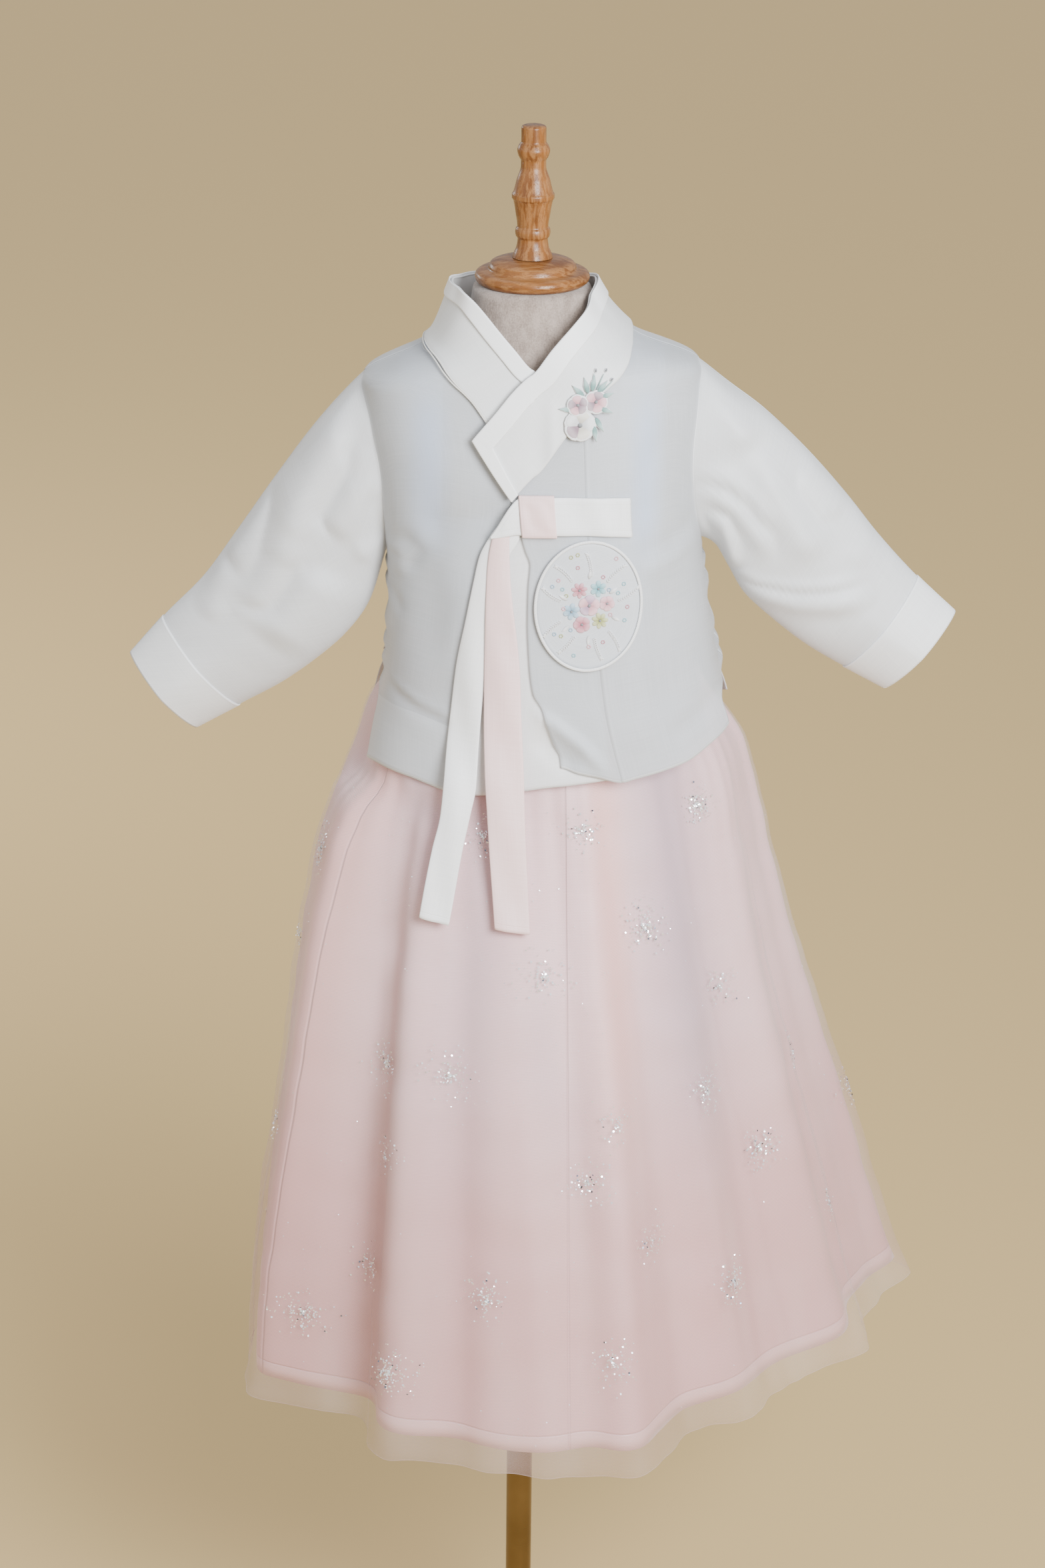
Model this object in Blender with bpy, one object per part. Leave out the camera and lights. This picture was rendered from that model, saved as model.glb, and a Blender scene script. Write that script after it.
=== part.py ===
"""A small child's hanbok (white jeogori jacket, pink chima skirt) on a limbless dress form.

Metres, +Z up. The garment faces -Y, so +X is the wearer's left. The origin is the centre
of the stand's base, on the floor. Every cloth piece is a wall over points that are worked
out from the tables below: a row for each section, edge point or fold.
"""

from math import asin, atan2, copysign, cos, degrees, exp, pi, radians, sin, sqrt, tau

import bmesh
import bpy
from mathutils import Vector

# ---------------------------------------------------------------- cloth and seams
SEAM_GAP = 0.0004
CLOTH = 0.0012
RIBBON = 0.0011
COLLAR_WHITE = 0.0016
COLLAR_COVER = 0.0011
TULLE = 0.0010


def table(columns, *rows):
    """A table as one tuple of values for each named column."""
    return dict(zip(columns.split(), zip(*rows)))


def at(rows, column, key, value):
    """The column where the key column has this value, on a smooth curve that never overshoots."""
    xs, ys = rows[key], rows[column]
    if value <= xs[0]:
        return ys[0]
    if value >= xs[-1]:
        return ys[-1]
    i = max(k for k in range(len(xs) - 1) if xs[k] <= value)
    slopes = [(ys[k + 1] - ys[k]) / (xs[k + 1] - xs[k]) for k in range(len(xs) - 1)]

    def tangent(k):
        if k in (0, len(xs) - 1):
            return slopes[min(k, len(slopes) - 1)]
        before, after = slopes[k - 1], slopes[k]
        return 0.0 if before * after <= 0 else 2 * before * after / (before + after)

    width = xs[i + 1] - xs[i]
    u = (value - xs[i]) / width
    return (
        ys[i] * (1 + 2 * u) * (1 - u) ** 2
        + ys[i + 1] * u * u * (3 - 2 * u)
        + width * u * (1 - u) * (tangent(i) * (1 - u) - tangent(i + 1) * u)
    )


def ease(low, high, value):
    """0 below low, 1 above high, and a smooth rise between them."""
    u = min(1.0, max(0.0, (value - low) / (high - low)))
    return u * u * (3 - 2 * u)


def mix(first, last, share):
    return first + (last - first) * share


def steps(first, last, count):
    """count + 1 values from first to last."""
    return [mix(first, last, k / count) for k in range(count + 1)]


# ---------------------------------------------------------------- building solids
def new_object(name, mesh_data, material, smooth=True):
    mesh_object = bpy.data.objects.new(name, mesh_data)
    bpy.data.collections["hanbok on dress form"].objects.link(mesh_object)
    mesh_data.materials.append(material)
    for face in mesh_data.polygons:
        face.use_smooth = smooth
    return mesh_object


def solid(name, vertices, faces, material):
    """One closed mesh with its faces turned outwards."""
    shape = bmesh.new()
    corners = [shape.verts.new(v) for v in vertices]
    for face in faces:
        shape.faces.new([corners[k] for k in face])
    bmesh.ops.recalc_face_normals(shape, faces=shape.faces[:])
    mesh_data = bpy.data.meshes.new(name)
    shape.to_mesh(mesh_data)
    shape.free()
    return new_object(name, mesh_data, material)


def surface_normal(surface, u, v, u_step=0.008, v_step=0.0006):
    """The direction square to a surface at one of its points."""
    along = surface(u + u_step, v) - surface(u - u_step, v)
    up = surface(u, v + v_step) - surface(u, v - v_step)
    return along.cross(up).normalized()


def grid_normals(points, wraps):
    """The direction square to a grid of points, at each of them."""
    rows, columns = len(points), len(points[0])
    normals = []
    for i in range(rows):
        above, below = points[min(i + 1, rows - 1)], points[max(i - 1, 0)]
        normals.append([])
        for j in range(columns):
            after = (j + 1) % columns if wraps else min(j + 1, columns - 1)
            before = (j - 1) % columns if wraps else max(j - 1, 0)
            along = points[i][after] - points[i][before]
            normals[i].append(along.cross(above[j] - below[j]).normalized())
    return normals


def wall(name, points, thickness, material, normals=None, wraps=False, closed_end=False):
    """A cloth wall of even thickness over a grid of points. wraps joins the grid's last
    column to its first, and closed_end fills the last row of such a grid."""
    rows, columns = len(points), len(points[0])
    normals = normals or grid_normals(points, wraps)
    vertices = [
        points[i][j] + normals[i][j] * side * thickness / 2
        for side in (-1, 1)
        for i in range(rows)
        for j in range(columns)
    ]

    def corner(layer, i, j):
        return (layer * rows + i) * columns + j % columns

    faces = []
    spans = columns if wraps else columns - 1
    for layer in (0, 1):
        for i in range(rows - 1):
            for j in range(spans):
                quad = [corner(layer, i, j), corner(layer, i, j + 1)]
                quad += [corner(layer, i + 1, j + 1), corner(layer, i + 1, j)]
                faces.append(quad)
        if closed_end:
            faces.append([corner(layer, rows - 1, j) for j in range(columns)])
    for i in (0,) if closed_end else (0, rows - 1):
        for j in range(spans):
            faces.append([corner(0, i, j), corner(0, i, j + 1), corner(1, i, j + 1), corner(1, i, j)])
    if not wraps:
        for j in (0, columns - 1):
            for i in range(rows - 1):
                faces.append([corner(0, i, j), corner(0, i + 1, j), corner(1, i + 1, j), corner(1, i, j)])
    return solid(name, vertices, faces, material)


def loft(name, rings, material):
    """A filled solid through rings of points, with flat ends."""
    count = len(rings[0])
    faces = [list(range(count)), [(len(rings) - 1) * count + j for j in range(count)]]
    for i in range(len(rings) - 1):
        for j in range(count):
            k = (j + 1) % count
            faces.append([i * count + j, i * count + k, (i + 1) * count + k, (i + 1) * count + j])
    return solid(name, [p for ring in rings for p in ring], faces, material)


def turned(name, profile, sides, material):
    """A solid turned about the Z axis, its profile's rows running from top to bottom."""
    rings = [
        [Vector((r * cos(tau * k / sides), r * sin(tau * k / sides), z)) for k in range(sides)]
        for z, r in zip(profile["height"], profile["radius"])
    ]
    return loft(name, rings, material)


def cord(name, path, radius, sides, material):
    """A round cord along a path of points."""
    rings = []
    for i, centre in enumerate(path):
        ahead = (path[min(i + 1, len(path) - 1)] - path[max(i - 1, 0)]).normalized()
        across = ahead.cross(Vector((0, 0, 1))).normalized()
        up = across.cross(ahead)
        rings.append([
            centre + (across * cos(tau * k / sides) + up * sin(tau * k / sides)) * radius
            for k in range(sides)
        ])
    return loft(name, rings, material)


def principled(name, colour, roughness, metallic=0.0, sheen=0.0):
    material = bpy.data.materials.new(name)
    material.use_nodes = True
    shader = material.node_tree.nodes["Principled BSDF"]
    shader.inputs["Base Color"].default_value = (*colour, 1.0)
    shader.inputs["Roughness"].default_value = roughness
    shader.inputs["Metallic"].default_value = metallic
    shader.inputs["Sheen Weight"].default_value = sheen
    material.diffuse_color = (*colour, 1.0)
    return material


# ---------------------------------------------------------------- level sections
SHOULDER_LEAN = 0.048


def leaned(point):
    """The form leans a little on its pole: its left shoulder (+X) is the higher one."""
    share = ease(0.930, 1.050, point.z) * (1 - ease(1.135, 1.168, point.z))
    return Vector((point.x, point.y, point.z + SHOULDER_LEAN * point.x * share))


def section_point(turn, centre_x, half_width, front, back, power):
    """A point of a level section. Turn 0 is the front, a quarter turn the wearer's left."""
    s, c = sin(turn), cos(turn)
    across = copysign(abs(s) ** (2 / power), s) * half_width
    along = copysign(abs(c) ** (2 / power), c) * (front if c > 0 else back)
    return centre_x + across, -along


# ---------------------------------------------------------------- dress form
FORM_POWER = 2.25
FORM_SIDES = 28
FORM = table(
    "height half_width front back",
    (0.700, 0.060, 0.048, 0.048),
    (0.704, 0.080, 0.066, 0.066),
    (0.716, 0.092, 0.075, 0.077),
    (0.745, 0.097, 0.079, 0.083),
    (0.800, 0.095, 0.076, 0.080),
    (0.860, 0.089, 0.069, 0.070),
    (0.920, 0.088, 0.067, 0.066),
    (0.980, 0.091, 0.070, 0.067),
    (1.030, 0.096, 0.069, 0.065),
    (1.070, 0.102, 0.064, 0.059),
    (1.095, 0.107, 0.058, 0.051),
    (1.112, 0.106, 0.0545, 0.048),
    (1.1225, 0.097, 0.0530, 0.047),
    (1.1315, 0.073, 0.0510, 0.0465),
    (1.139, 0.054, 0.048, 0.0445),
    (1.150, 0.0455, 0.0450, 0.0425),
    (1.165, 0.0425, 0.0425, 0.0415),
    (1.1725, 0.0410, 0.0410, 0.0405),
    (1.1750, 0.0375, 0.0375, 0.0375),
)


def form_surface(turn, height):
    depths = [at(FORM, column, "height", height) for column in ("half_width", "front", "back")]
    x, y = section_point(turn, 0.0, *depths, FORM_POWER)
    return leaned(Vector((x, y, height)))


def build_form(material):
    turns = [tau * k / FORM_SIDES for k in range(FORM_SIDES)]
    loft("form_body", [[form_surface(t, h) for t in turns] for h in FORM["height"]], material)


# ---------------------------------------------------------------- stand
NECK_CAP = table(
    "height radius",
    (1.1930, 0.0160),
    (1.1915, 0.0240),
    (1.1895, 0.0290),
    (1.1865, 0.0305),
    (1.1850, 0.0315),
    (1.1842, 0.0365),
    (1.1825, 0.0392),
    (1.1800, 0.0400),
    (1.1775, 0.0392),
    (1.1756, 0.0370),
)
FINIAL = table(
    "height radius",
    (1.2850, 0.0076),
    (1.2840, 0.0086),
    (1.2740, 0.0086),
    (1.2710, 0.0104),
    (1.2680, 0.0113),
    (1.2640, 0.0104),
    (1.2605, 0.0087),
    (1.2570, 0.0087),
    (1.2480, 0.0114),
    (1.2390, 0.0138),
    (1.2375, 0.0147),
    (1.2350, 0.0147),
    (1.2335, 0.0138),
    (1.2240, 0.0120),
    (1.2150, 0.0108),
    (1.2135, 0.0119),
    (1.2110, 0.0122),
    (1.2085, 0.0118),
    (1.2065, 0.0105),
    (1.2010, 0.0112),
    (1.1960, 0.0132),
    (1.1934, 0.0140),
)
SOCKET = table(
    "height radius",
    (0.6996, 0.0160),
    (0.6980, 0.0175),
    (0.6850, 0.0175),
    (0.6830, 0.0160),
)
POLE = table("height radius", (0.6826, 0.0100), (0.0305, 0.0100))
FOOT_FLANGE = table(
    "height radius",
    (0.0301, 0.0150),
    (0.0285, 0.0170),
    (0.0150, 0.0180),
    (0.0100, 0.0260),
    (0.0084, 0.0270),
)
BASE = table(
    "height radius",
    (0.0080, 0.1300),
    (0.0076, 0.1335),
    (0.0060, 0.1350),
    (0.0000, 0.1350),
)


def build_stand(wood, brass):
    turned("neck_cap", NECK_CAP, 28, wood)
    turned("finial", FINIAL, 16, wood)
    turned("form_socket", SOCKET, 20, brass)
    turned("pole", POLE, 20, brass)
    turned("foot_flange", FOOT_FLANGE, 20, brass)
    turned("base", BASE, 40, brass)


# ---------------------------------------------------------------- the jacket's own surface
JACKET_POWER = 2.5
JACKET = table(
    "height centre_x half_width front back",
    (0.826, 0.020, 0.1415, 0.1005, 0.127),
    (0.832, 0.020, 0.140, 0.100, 0.125),
    (0.866, 0.020, 0.131, 0.096, 0.113),
    (0.890, 0.018, 0.1235, 0.093, 0.102),
    (0.944, 0.014, 0.115, 0.087, 0.085),
    (0.990, 0.0105, 0.112, 0.083, 0.078),
    (1.020, 0.0065, 0.113, 0.080, 0.077),
    (1.050, 0.004, 0.1155, 0.076, 0.073),
    (1.090, 0.002, 0.1195, 0.068, 0.062),
    (1.117, 0.000, 0.119, 0.062, 0.054),
    (1.126, 0.000, 0.100, 0.0605, 0.053),
    (1.135, 0.000, 0.074, 0.058, 0.052),
    (1.150, -0.002, 0.062, 0.054, 0.050),
    (1.170, -0.005, 0.0540, 0.050, 0.048),
    (1.195, -0.007, 0.0495, 0.047, 0.046),
)


def jacket_surface(turn, height):
    columns = ("centre_x", "half_width", "front", "back")
    x, y = section_point(turn, *[at(JACKET, c, "height", height) for c in columns], JACKET_POWER)
    return leaned(Vector((x, y, height)))


def jacket(turn, height, out=0.0):
    """A point of the jacket's surface, moved out along its normal."""
    point = jacket_surface(turn, height)
    return point + surface_normal(jacket_surface, turn, height) * out if out else point


def front_turn(x, height):
    """The turn at which the front of the jacket has this x."""
    across = (x - at(JACKET, "centre_x", "height", height)) / at(JACKET, "half_width", "height", height)
    across = max(-1.0, min(1.0, across))
    return asin(copysign(abs(across) ** (JACKET_POWER / 2), across))


def depth_turn(y, height, side):
    """The turn at which a side of the jacket has this y. side is 1 for the wearer's left."""
    depth = at(JACKET, "front" if y < 0 else "back", "height", height)
    along = min(1.0, abs(y) / depth) ** (JACKET_POWER / 2)
    return side * (pi / 2 + copysign(asin(along), y))


# ---------------------------------------------------------------- collar lines
COLLAR_OUTER = table(
    "step inner_turn inner_height outer_turn outer_height",
    (0, -15.9, 1.0832, -5.4, 1.0419),
    (1, -10.3, 1.0956, -0.1, 1.0574),
    (2, -5.7, 1.1097, 3.4, 1.0720),
    (3, 0.1, 1.1273, 8.7, 1.0900),
    (4, 5.5, 1.1386, 12.8, 1.1022),
    (5, 14.1, 1.1481, 19.4, 1.1152),
    (6, 32.8, 1.1638, 36.5, 1.1281),
    (7, 49.0, 1.1715, 62.7, 1.1350),
    (8, 68.0, 1.1820, 88.0, 1.1410),
    (9, 92.0, 1.1860, 108.0, 1.1400),
    (10, 120.0, 1.1770, 130.0, 1.1340),
    (11, 150.0, 1.1705, 156.0, 1.1295),
    (12, 179.6, 1.1685, 179.6, 1.1280),
)
COLLAR_INNER = table(
    "step inner_turn inner_height outer_turn outer_height",
    (0, -179.6, 1.1685, -179.6, 1.1280),
    (1, -150.0, 1.1695, -154.0, 1.1295),
    (2, -120.0, 1.1725, -128.0, 1.1335),
    (3, -92.0, 1.1765, -104.0, 1.1375),
    (4, -68.0, 1.1765, -84.0, 1.1378),
    (5, -50.0, 1.1738, -58.6, 1.1349),
    (6, -37.7, 1.1714, -34.9, 1.1294),
    (7, -26.1, 1.1619, -18.2, 1.1181),
    (8, -12.1, 1.1484, -13.4, 1.1056),
    (9, -3.2, 1.1356, -10.6, 1.0948),
    (10, 0.8, 1.1260, -7.4, 1.0850),
    (11, 3.2, 1.1165, -3.8, 1.0770),
)
COLLAR_LIFT_SIDE = 0.0030
COLLAR_LIFT_INNER = 0.0022
COLLAR_LIFT_CROSSED = 0.0061
PANEL_UNDER_COLLAR = 0.005
COLLAR_COVER_SHARE = 0.29
PIPING_ACROSS = 1.06
PIPING_LIFT = 0.0027
PIPING_RADIUS = 0.0008


def outer_collar_lift(turn):
    """How far the outer collar is off the jacket's surface, for a turn in degrees."""
    return mix(COLLAR_LIFT_CROSSED, COLLAR_LIFT_SIDE, ease(18, 62, turn))


def inner_collar_lift(turn):
    return mix(COLLAR_LIFT_INNER, COLLAR_LIFT_SIDE, ease(15, 45, -turn))


def collar_point(rows, step, across, out):
    """A point of the collar. across is 0 on the edge at the neck and 1 on the jacket's seam."""
    edges = [at(rows, c, "step", step) for c in ("inner_turn", "inner_height", "outer_turn", "outer_height")]
    turn = radians(mix(edges[0], edges[2], across))
    return jacket(turn, mix(edges[1], edges[3], across), out)


def collar_grid(rows, first, last, count, across, lift):
    return [
        [collar_point(rows, step, a, lift(at(rows, "inner_turn", "step", step))) for a in across]
        for step in steps(first, last, count)
    ]


def seam_turn(rows, height):
    """The turn, in degrees, where the collar's seam is at this height on the jacket's front."""
    pairs = [p for p in zip(rows["outer_height"], rows["outer_turn"]) if abs(p[1]) < 90]
    pairs = sorted(pairs)
    pairs.append((pairs[-1][0] + 0.0014, copysign(90, pairs[-1][1])))
    return at({"height": [p[0] for p in pairs], "turn": [p[1] for p in pairs]}, "turn", "height", height)


def build_collar(white, cover, piping):
    across = (0.0, COLLAR_COVER_SHARE, 0.64, 1.0)
    cover_rise = COLLAR_WHITE / 2 + SEAM_GAP + COLLAR_COVER / 2

    def cover_lift(lift):
        return lambda turn: lift(turn) + cover_rise

    outer, inner = outer_collar_lift, inner_collar_lift
    wall("collar_outer", collar_grid(COLLAR_OUTER, 0, 12, 22, across, outer), COLLAR_WHITE, white)
    wall("collar_inner", collar_grid(COLLAR_INNER, 0, 11, 20, across, inner), COLLAR_WHITE, white)
    strip = collar_grid(COLLAR_OUTER, 0, 12, 22, across[:2], cover_lift(outer))
    wall("collar_cover_outer", strip, COLLAR_COVER, cover)
    strip = collar_grid(COLLAR_INNER, 0, 10.45, 19, across[:2], cover_lift(inner))
    wall("collar_cover_inner", strip, COLLAR_COVER, cover)
    path = [collar_point(COLLAR_INNER, step, PIPING_ACROSS, PIPING_LIFT) for step in steps(4, 9.3, 20)]
    cord("collar_piping", path, PIPING_RADIUS, 6, piping)


# ---------------------------------------------------------------- jacket panels
ARMHOLE = {"low": 0.990, "high": 1.117, "front": 0.034, "back": 0.032}
OVERLAP_LIFT = 0.0026
OUTER_EDGE = table(
    "height x",
    (0.8408, 0.0240),
    (0.8517, 0.0225),
    (0.8566, 0.0194),
    (0.8737, 0.0146),
    (0.8879, 0.0106),
    (0.9007, 0.0040),
    (0.9258, 0.0009),
    (0.9571, -0.0006),
    (0.9790, -0.0004),
    (0.9964, 0.0008),
    (1.0058, -0.0025),
    (1.0157, -0.0054),
    (1.0419, -0.0130),
)
OUTER_SEAM = table(
    "height turn",
    (0.8414, 14.8),
    (0.8779, 12.4),
    (0.9208, 12.1),
    (0.9946, 12.0),
    (1.0454, 12.3),
    (1.1000, 11.4),
)
OUTER_HEM = table(
    "turn height",
    (-4.0, 0.8530),
    (0.4, 0.8517),
    (3.7, 0.8479),
    (8.9, 0.8445),
    (14.8, 0.8408),
    (18.9, 0.8428),
    (29.5, 0.8472),
    (39.0, 0.8511),
    (51.2, 0.8582),
    (68.8, 0.8657),
)
RIGHT_SIDE = table("height turn", (0.834, -74.0), (0.866, -80.0), (0.900, -89.85))
LEFT_SIDE = table("height turn", (0.8408, 68.8), (0.862, 71.0), (0.884, 89.85))
INNER_SEAM_X = table(
    "height x",
    (0.829, -0.0480),
    (0.880, -0.0440),
    (0.930, -0.0385),
    (0.975, -0.0300),
    (1.005, -0.0240),
    (1.033, -0.0160),
)
INNER_HEM = table(
    "turn height",
    (-74.0, 0.8345),
    (-62.0, 0.8365),
    (-44.5, 0.8356),
    (-35.2, 0.8332),
    (-28.9, 0.8306),
    (-19.7, 0.8292),
    (-5.7, 0.8341),
    (0.0, 0.8375),
    (10.0, 0.8420),
)
BACK_HEM = table(
    "turn height",
    (98.0, 0.8660),
    (112.0, 0.8560),
    (135.0, 0.8400),
    (180.0, 0.8320),
    (225.0, 0.8360),
    (248.0, 0.8420),
    (262.0, 0.8500),
)
INNER_TOP = 1.0320
HEM_FADE = 0.09
VENT_TOP_RIGHT, VENT_TOP_LEFT = 0.905, 0.888
VENT_RIGHT, VENT_LEFT = 24.0, 20.0
FLARE_RIGHT = 0.009
FLARE_LEFT = 0.005
BACK_NECK_DIP = 0.010


def armhole_turn(height, side, to_back):
    """The turn of an armhole's edge at this height: the side itself above and below the hole."""
    middle = (ARMHOLE["low"] + ARMHOLE["high"]) / 2
    along = (height - middle) / (ARMHOLE["high"] - middle)
    if abs(along) >= 1:
        return side * pi / 2
    depth = ARMHOLE["back" if to_back else "front"] * sqrt(1 - along * along)
    return depth_turn(depth if to_back else -depth, height, side)


def seam_inset(turn, height, out=0.0):
    """The turn that moves an edge back from its seam by half the gap."""
    step = 0.01
    length = (jacket(turn + step, height) - jacket(turn - step, height)).length
    return 2 * step * SEAM_GAP / 2 / length


def panel(name, levels, edges, hem, lift, columns, material, neck_dip=0.0):
    """A jacket panel: level rows between its two edges, the lowest ones following its hem."""
    points, normals = [], []
    lowest = min(hem["height"])
    for level in levels:
        first, last = edges(level)
        first += seam_inset(first, level)
        last -= seam_inset(last, level)
        fade = max(0.0, 1 - (level - lowest) / HEM_FADE)
        points.append([])
        normals.append([])
        for turn in steps(first, last, columns):
            height = level + (at(hem, "height", "turn", degrees(turn)) - lowest) * fade
            height -= neck_dip * max(0.0, -cos(turn)) ** 1.5 * ease(1.09, 1.143, level)
            normal = surface_normal(jacket_surface, turn, height)
            points[-1].append(jacket_surface(turn, height) + normal * lift(turn, height))
            normals[-1].append(normal)
    return wall(name, points, CLOTH, material, normals)


def over_lift(turn, height):
    """The outer front lies over the inner one and meets the back at the side."""
    return OVERLAP_LIFT * (1 - ease(20, 52, degrees(turn)))


def back_flare(turn, height):
    """The back's skirt swings out below the side vents."""
    to_right = 0.5 - 0.5 * sin(turn)
    top = mix(VENT_TOP_LEFT, VENT_TOP_RIGHT, to_right)
    return mix(FLARE_LEFT, FLARE_RIGHT, to_right) * (1 - ease(top - 0.040, top, height))


def left_front_edges(level):
    under = seam_turn(COLLAR_OUTER, level - PANEL_UNDER_COLLAR)
    first = max(at(OUTER_SEAM, "turn", "height", level), under if level > 1.08 else -90)
    side = at(LEFT_SIDE, "turn", "height", level) if level < 0.884 else None
    return radians(first), radians(side) if side else armhole_turn(level, 1, False)


def outer_overlap_edges(level):
    first = degrees(front_turn(at(OUTER_EDGE, "x", "height", level), level))
    if level > 1.0419:
        first = max(first, seam_turn(COLLAR_OUTER, level - PANEL_UNDER_COLLAR))
    return radians(first), radians(at(OUTER_SEAM, "turn", "height", level))


def right_front_edges(level):
    last = front_turn(at(INNER_SEAM_X, "x", "height", level), level)
    if level > 1.036:
        last = radians(min(-5.0, seam_turn(COLLAR_INNER, level - PANEL_UNDER_COLLAR)))
    side = at(RIGHT_SIDE, "turn", "height", level) if level < 0.900 else None
    return radians(side) if side else armhole_turn(level, -1, False), last


def inner_overlap_edges(level):
    return front_turn(at(INNER_SEAM_X, "x", "height", level), level), radians(9.0)


def back_edges(level):
    vent = 1 - ease(VENT_TOP_LEFT - 0.035, VENT_TOP_LEFT, level)
    first = radians(90 + VENT_LEFT * vent) if vent else armhole_turn(level, 1, True)
    vent = 1 - ease(VENT_TOP_RIGHT - 0.040, VENT_TOP_RIGHT, level)
    last = radians(270 - VENT_RIGHT * vent) if vent else armhole_turn(level, -1, True) + tau
    return first, last


def build_jacket(organza, white):
    arm_levels = (0.944, 0.970, 0.990, 0.9935, 1.002, 1.018, 1.040, 1.066, 1.088, 1.103, 1.1125, 1.1165)
    top = (1.120, 1.128, 1.136)
    low = (0.8408, 0.858, 0.872, VENT_TOP_LEFT, 0.915)
    panel(
        "jacket_left_front",
        low + arm_levels + top + (1.1425,),
        left_front_edges,
        OUTER_HEM,
        over_lift,
        9,
        organza,
    )
    panel(
        "jacket_outer_overlap",
        low + (0.940, 0.970, 0.996, 1.018, 1.0415, 1.058, 1.075, 1.090),
        outer_overlap_edges,
        OUTER_HEM,
        over_lift,
        3,
        organza,
    )
    panel(
        "jacket_right_front",
        (0.8292, 0.848, 0.868, 0.900, 0.922) + arm_levels[:6] + (1.033, 1.039) + arm_levels[7:] + top,
        right_front_edges,
        INNER_HEM,
        lambda turn, height: 0.0,
        9,
        organza,
    )
    panel(
        "jacket_inner_overlap",
        (0.8292, 0.848, 0.868, 0.900, 0.940, 0.985, INNER_TOP),
        inner_overlap_edges,
        INNER_HEM,
        lambda turn, height: 0.0,
        4,
        white,
    )
    panel(
        "jacket_back",
        (0.832, 0.850, 0.870, VENT_TOP_LEFT, VENT_TOP_RIGHT, 0.922) + arm_levels + top + (1.143,),
        back_edges,
        BACK_HEM,
        back_flare,
        13,
        organza,
        BACK_NECK_DIP,
    )


# ---------------------------------------------------------------- sleeves
SLEEVE_POWER = 2.15
SLEEVE_SIDES = 18
SLEEVE_RIGHT = table(
    "along top_x top_z bottom_x bottom_z front back",
    (0.00, -0.1195, 1.1113, -0.1020, 0.9850, 0.034, 0.032),
    (0.10, -0.1345, 1.0925, -0.1065, 0.9660, 0.033, 0.031),
    (0.22, -0.1540, 1.0690, -0.1150, 0.9410, 0.032, 0.030),
    (0.38, -0.1810, 1.0320, -0.1320, 0.9170, 0.031, 0.028),
    (0.54, -0.2100, 0.9900, -0.1550, 0.8960, 0.029, 0.026),
    (0.67, -0.2330, 0.9580, -0.1780, 0.8790, 0.027, 0.024),
    (0.82, -0.2600, 0.9300, -0.2060, 0.8630, 0.025, 0.022),
    (1.00, -0.2870, 0.8990, -0.2410, 0.8430, 0.022, 0.019),
)
SLEEVE_LEFT = table(
    "along top_x top_z bottom_x bottom_z front back",
    (0.00, 0.1195, 1.1227, 0.1220, 0.9960, 0.034, 0.032),
    (0.10, 0.1350, 1.1080, 0.1310, 0.9900, 0.033, 0.031),
    (0.22, 0.1630, 1.0870, 0.1420, 0.9720, 0.032, 0.030),
    (0.38, 0.1930, 1.0590, 0.1530, 0.9530, 0.031, 0.028),
    (0.54, 0.2240, 1.0250, 0.1760, 0.9310, 0.029, 0.026),
    (0.67, 0.2490, 0.9940, 0.1990, 0.9130, 0.027, 0.024),
    (0.82, 0.2750, 0.9660, 0.2250, 0.8970, 0.025, 0.022),
    (1.00, 0.3060, 0.9370, 0.2580, 0.8790, 0.022, 0.019),
)
ARMHOLE_GAP = 0.0015
CUFF_START = 0.84
SLEEVE_CREASES = table(
    "side angle start end depth width",
    (1, 150.0, 0.02, 0.70, -0.0055, 26.0),
    (1, 100.0, 0.00, 0.45, 0.0030, 30.0),
    (1, 60.0, 0.15, 0.85, -0.0030, 30.0),
    (-1, 70.0, 0.00, 0.75, -0.0035, 28.0),
    (-1, 125.0, 0.05, 0.80, -0.0030, 26.0),
    (-1, 240.0, 0.05, 0.75, -0.0035, 30.0),
    (1, 240.0, 0.05, 0.75, -0.0035, 30.0),
)


def armhole_ring(side, angle):
    """A point just outside the armhole's edge. Angle 0 is its top and a quarter turn its front."""
    middle = (ARMHOLE["low"] + ARMHOLE["high"]) / 2
    height = middle + (ARMHOLE["high"] - middle) * cos(angle)
    depth = sin(angle) * ARMHOLE["front" if sin(angle) > 0 else "back"]
    return jacket_surface(depth_turn(-depth, height, side), height) + Vector((side * ARMHOLE_GAP, 0, 0))


def sleeve_surface(side, angle, along):
    rows = SLEEVE_LEFT if side > 0 else SLEEVE_RIGHT
    top_x, top_z, bottom_x, bottom_z, front, back = (
        at(rows, c, "along", along) for c in ("top_x", "top_z", "bottom_x", "bottom_z", "front", "back")
    )
    c = copysign(abs(cos(angle)) ** (2 / SLEEVE_POWER), cos(angle))
    s = copysign(abs(sin(angle)) ** (2 / SLEEVE_POWER), sin(angle))
    depth = -s * (front if s > 0 else back)
    for k in range(len(SLEEVE_CREASES["side"])):
        if SLEEVE_CREASES["side"][k] != side:
            continue
        start, end = SLEEVE_CREASES["start"][k], SLEEVE_CREASES["end"][k]
        along_it = ease(start, start + 0.2, along) * (1 - ease(end - 0.25, end, along))
        off = (degrees(angle) - SLEEVE_CREASES["angle"][k] + 180) % 360 - 180
        crease = SLEEVE_CREASES["depth"][k] * along_it * exp(-((off / SLEEVE_CREASES["width"][k]) ** 2))
        depth += crease * (-1 if s > 0 else 1)
    middle = Vector(((top_x + bottom_x) / 2, depth, (top_z + bottom_z) / 2))
    hanging = middle + Vector(((top_x - bottom_x) / 2, 0, (top_z - bottom_z) / 2)) * c
    return armhole_ring(side, angle).lerp(hanging, ease(0.0, 0.14, along))


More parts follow.
